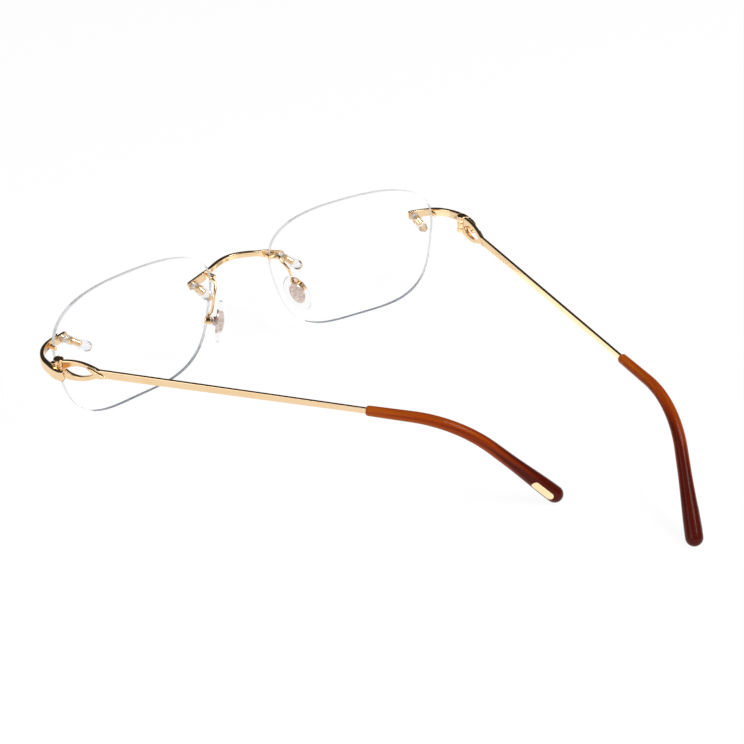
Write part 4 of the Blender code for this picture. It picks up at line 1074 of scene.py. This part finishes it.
class GLASSES_OT_stage(Operator):
    """White floor and background, soft lamps and the camera"""
    bl_idname = "glasses.stage"
    bl_label = "Stage"

    def execute(self, context):
        self.floor()
        self.world()
        self.lamps()
        self.camera()
        return {"FINISHED"}

    def floor(self):
        """Matt white paper. Seen directly, in metal or through a lens, it is plain white; in metal
        it also has a painted reflection, brighter on the wearer's right.
        """
        pick()
        bpy.ops.mesh.primitive_plane_add(size=6.0, location=(0.0, 0.0, -0.0002))
        floor = bpy.context.object
        floor.name = "floor"
        white = bpy.data.materials.new("white_paper")
        tree = empty_tree(white)
        rays = add_node(tree, "LightPath").outputs
        glossy, through = rays["Is Glossy Ray"], rays["Is Transmission Ray"]
        seen = calculate(tree, "MAXIMUM", calculate(tree, "MAXIMUM", rays["Is Camera Ray"], glossy),
                         through)
        paper = add_node(tree, "BsdfDiffuse", {"Color": colours().floor})
        # Painted reflection: as seen in polished metal only, the paper glows brighter on the
        # wearer's right.
        across = part_of(tree, add_node(tree, "TexCoord").outputs["Object"], "X")
        painted_reflection_strength = ranged(tree, across, 1.5, 1.05, -0.03, 0.01)
        # Glossy rays get the painted reflection, the other seen rays the even white.
        mirrored = calculate(tree, "SUBTRACT", glossy, through, use_clamp=True)
        power = add_node(tree, "Mix", {"A": 1.05, "B": painted_reflection_strength, "Factor": mirrored},
                         data_type="FLOAT")
        glow = add_node(tree, "Emission", {"Color": colours().floor,
                                           "Strength": power.outputs["Result"]})
        mix = add_node(tree, "MixShader", {0: calculate(tree, "MULTIPLY", seen, 0.9),
                                           1: paper.outputs["BSDF"], 2: glow.outputs["Emission"]})
        add_node(tree, "OutputMaterial", {"Surface": mix.outputs["Shader"]})
        floor.data.materials.append(white)

    def world(self):
        """A studio dim overhead, so that polished metal has dark as well as light in it."""
        world = bpy.data.worlds.new("studio")
        bpy.context.scene.world = world
        tree = empty_tree(world)
        rays = add_node(tree, "LightPath").outputs
        clear = calculate(tree, "MAXIMUM", rays["Is Camera Ray"], rays["Is Transmission Ray"])
        up = part_of(tree, add_node(tree, "TexCoord").outputs["Generated"], "Z")
        ramp = ramped(tree, up, ((0.04, (0.7, 0.7, 0.7, 1.0)), (0.2, (0.02, 0.017, 0.016, 1.0)),
                                 (0.95, (0.05, 0.05, 0.05, 1.0))))
        # Seen through a clear piece the studio is light, a little less so overhead.
        through = ranged(tree, up, 1.0, 0.45, 0.1, 0.3)
        white = calculate(tree, "MAXIMUM", rays["Is Camera Ray"], through)
        light = add_node(tree, "Background", {"Color": mixed(tree, clear, ramp, white)})
        add_node(tree, "OutputWorld", {"Surface": light.outputs["Background"]})

    def lamps(self):
        for name, place, size, watts in (
                ("key_softbox", (-0.25, 0.45, 0.75), 0.45, 5.0),
                ("fill_softbox", (0.7, 0.1, 0.35), 0.5, 2.0)):
            lamp = bpy.data.lights.new(name, "AREA")
            lamp.size, lamp.energy = size, watts
            box = bpy.data.objects.new(name, lamp)
            bpy.context.scene.collection.objects.link(box)
            box.location = place
            aim = Vector((0.0, 0.0, 0.02)) - Vector(place)
            box.rotation_mode = "QUATERNION"
            box.rotation_quaternion = aim.to_track_quat("-Z", "Y")

    def camera(self):
        """Solved from the photograph: 100.6 mm lens on a 36 mm square frame."""
        lens = bpy.data.cameras.new("camera")
        lens.lens, lens.sensor_width = 100.63, 36.0
        lens.clip_start, lens.clip_end = 0.01, 20.0
        camera = bpy.data.objects.new("camera", lens)
        bpy.context.scene.collection.objects.link(camera)
        middle = hinge_place() - HINGE_FROM_MIDDLE
        right = Vector((-0.8112486, 0.5846994, 0.0015459))
        top = Vector((-0.3170953, -0.4421760, 0.8390059))
        back = Vector((0.4912498, 0.6801522, 0.5441201))
        camera.matrix_world = axes(middle + Vector((265.078, 429.350, 299.937)) * MM,
                                   right, top, back)
        bpy.context.scene.camera = camera


class GLASSES_PT_panel(Panel):
    """Lists the steps that build the glasses"""
    bl_idname = "GLASSES_PT_panel"
    bl_label = "Eyeglasses"
    bl_space_type = "VIEW_3D"
    bl_region_type = "UI"
    bl_category = "Eyeglasses"

    def draw(self, context):
        for step in STEPS:
            self.layout.operator(step.bl_idname)


GROUPS = (("glasses_front", FrontSizes), ("glasses_temples", TempleSizes),
          ("glasses_pads", PadSizes), ("glasses_colours", Colours))
STEPS = (GLASSES_OT_stage, GLASSES_OT_lenses, GLASSES_OT_fixings, GLASSES_OT_bridge,
         GLASSES_OT_endpieces, GLASSES_OT_temples, GLASSES_OT_tips, GLASSES_OT_pads)


def register():
    for name, group in GROUPS:
        bpy.utils.register_class(group)
        setattr(bpy.types.Scene, name, bpy.props.PointerProperty(type=group))
    for item in STEPS + (GLASSES_PT_panel,):
        bpy.utils.register_class(item)


def unregister():
    for item in reversed(STEPS + (GLASSES_PT_panel,)):
        bpy.utils.unregister_class(item)
    for name, group in reversed(GROUPS):
        delattr(bpy.types.Scene, name)
        bpy.utils.unregister_class(group)


def main():
    register()
    bpy.context.scene.view_settings.view_transform = "Standard"
    for step in STEPS:
        family, name = step.bl_idname.split(".")
        getattr(getattr(bpy.ops, family), name)()


if __name__ == "__main__":
    main()
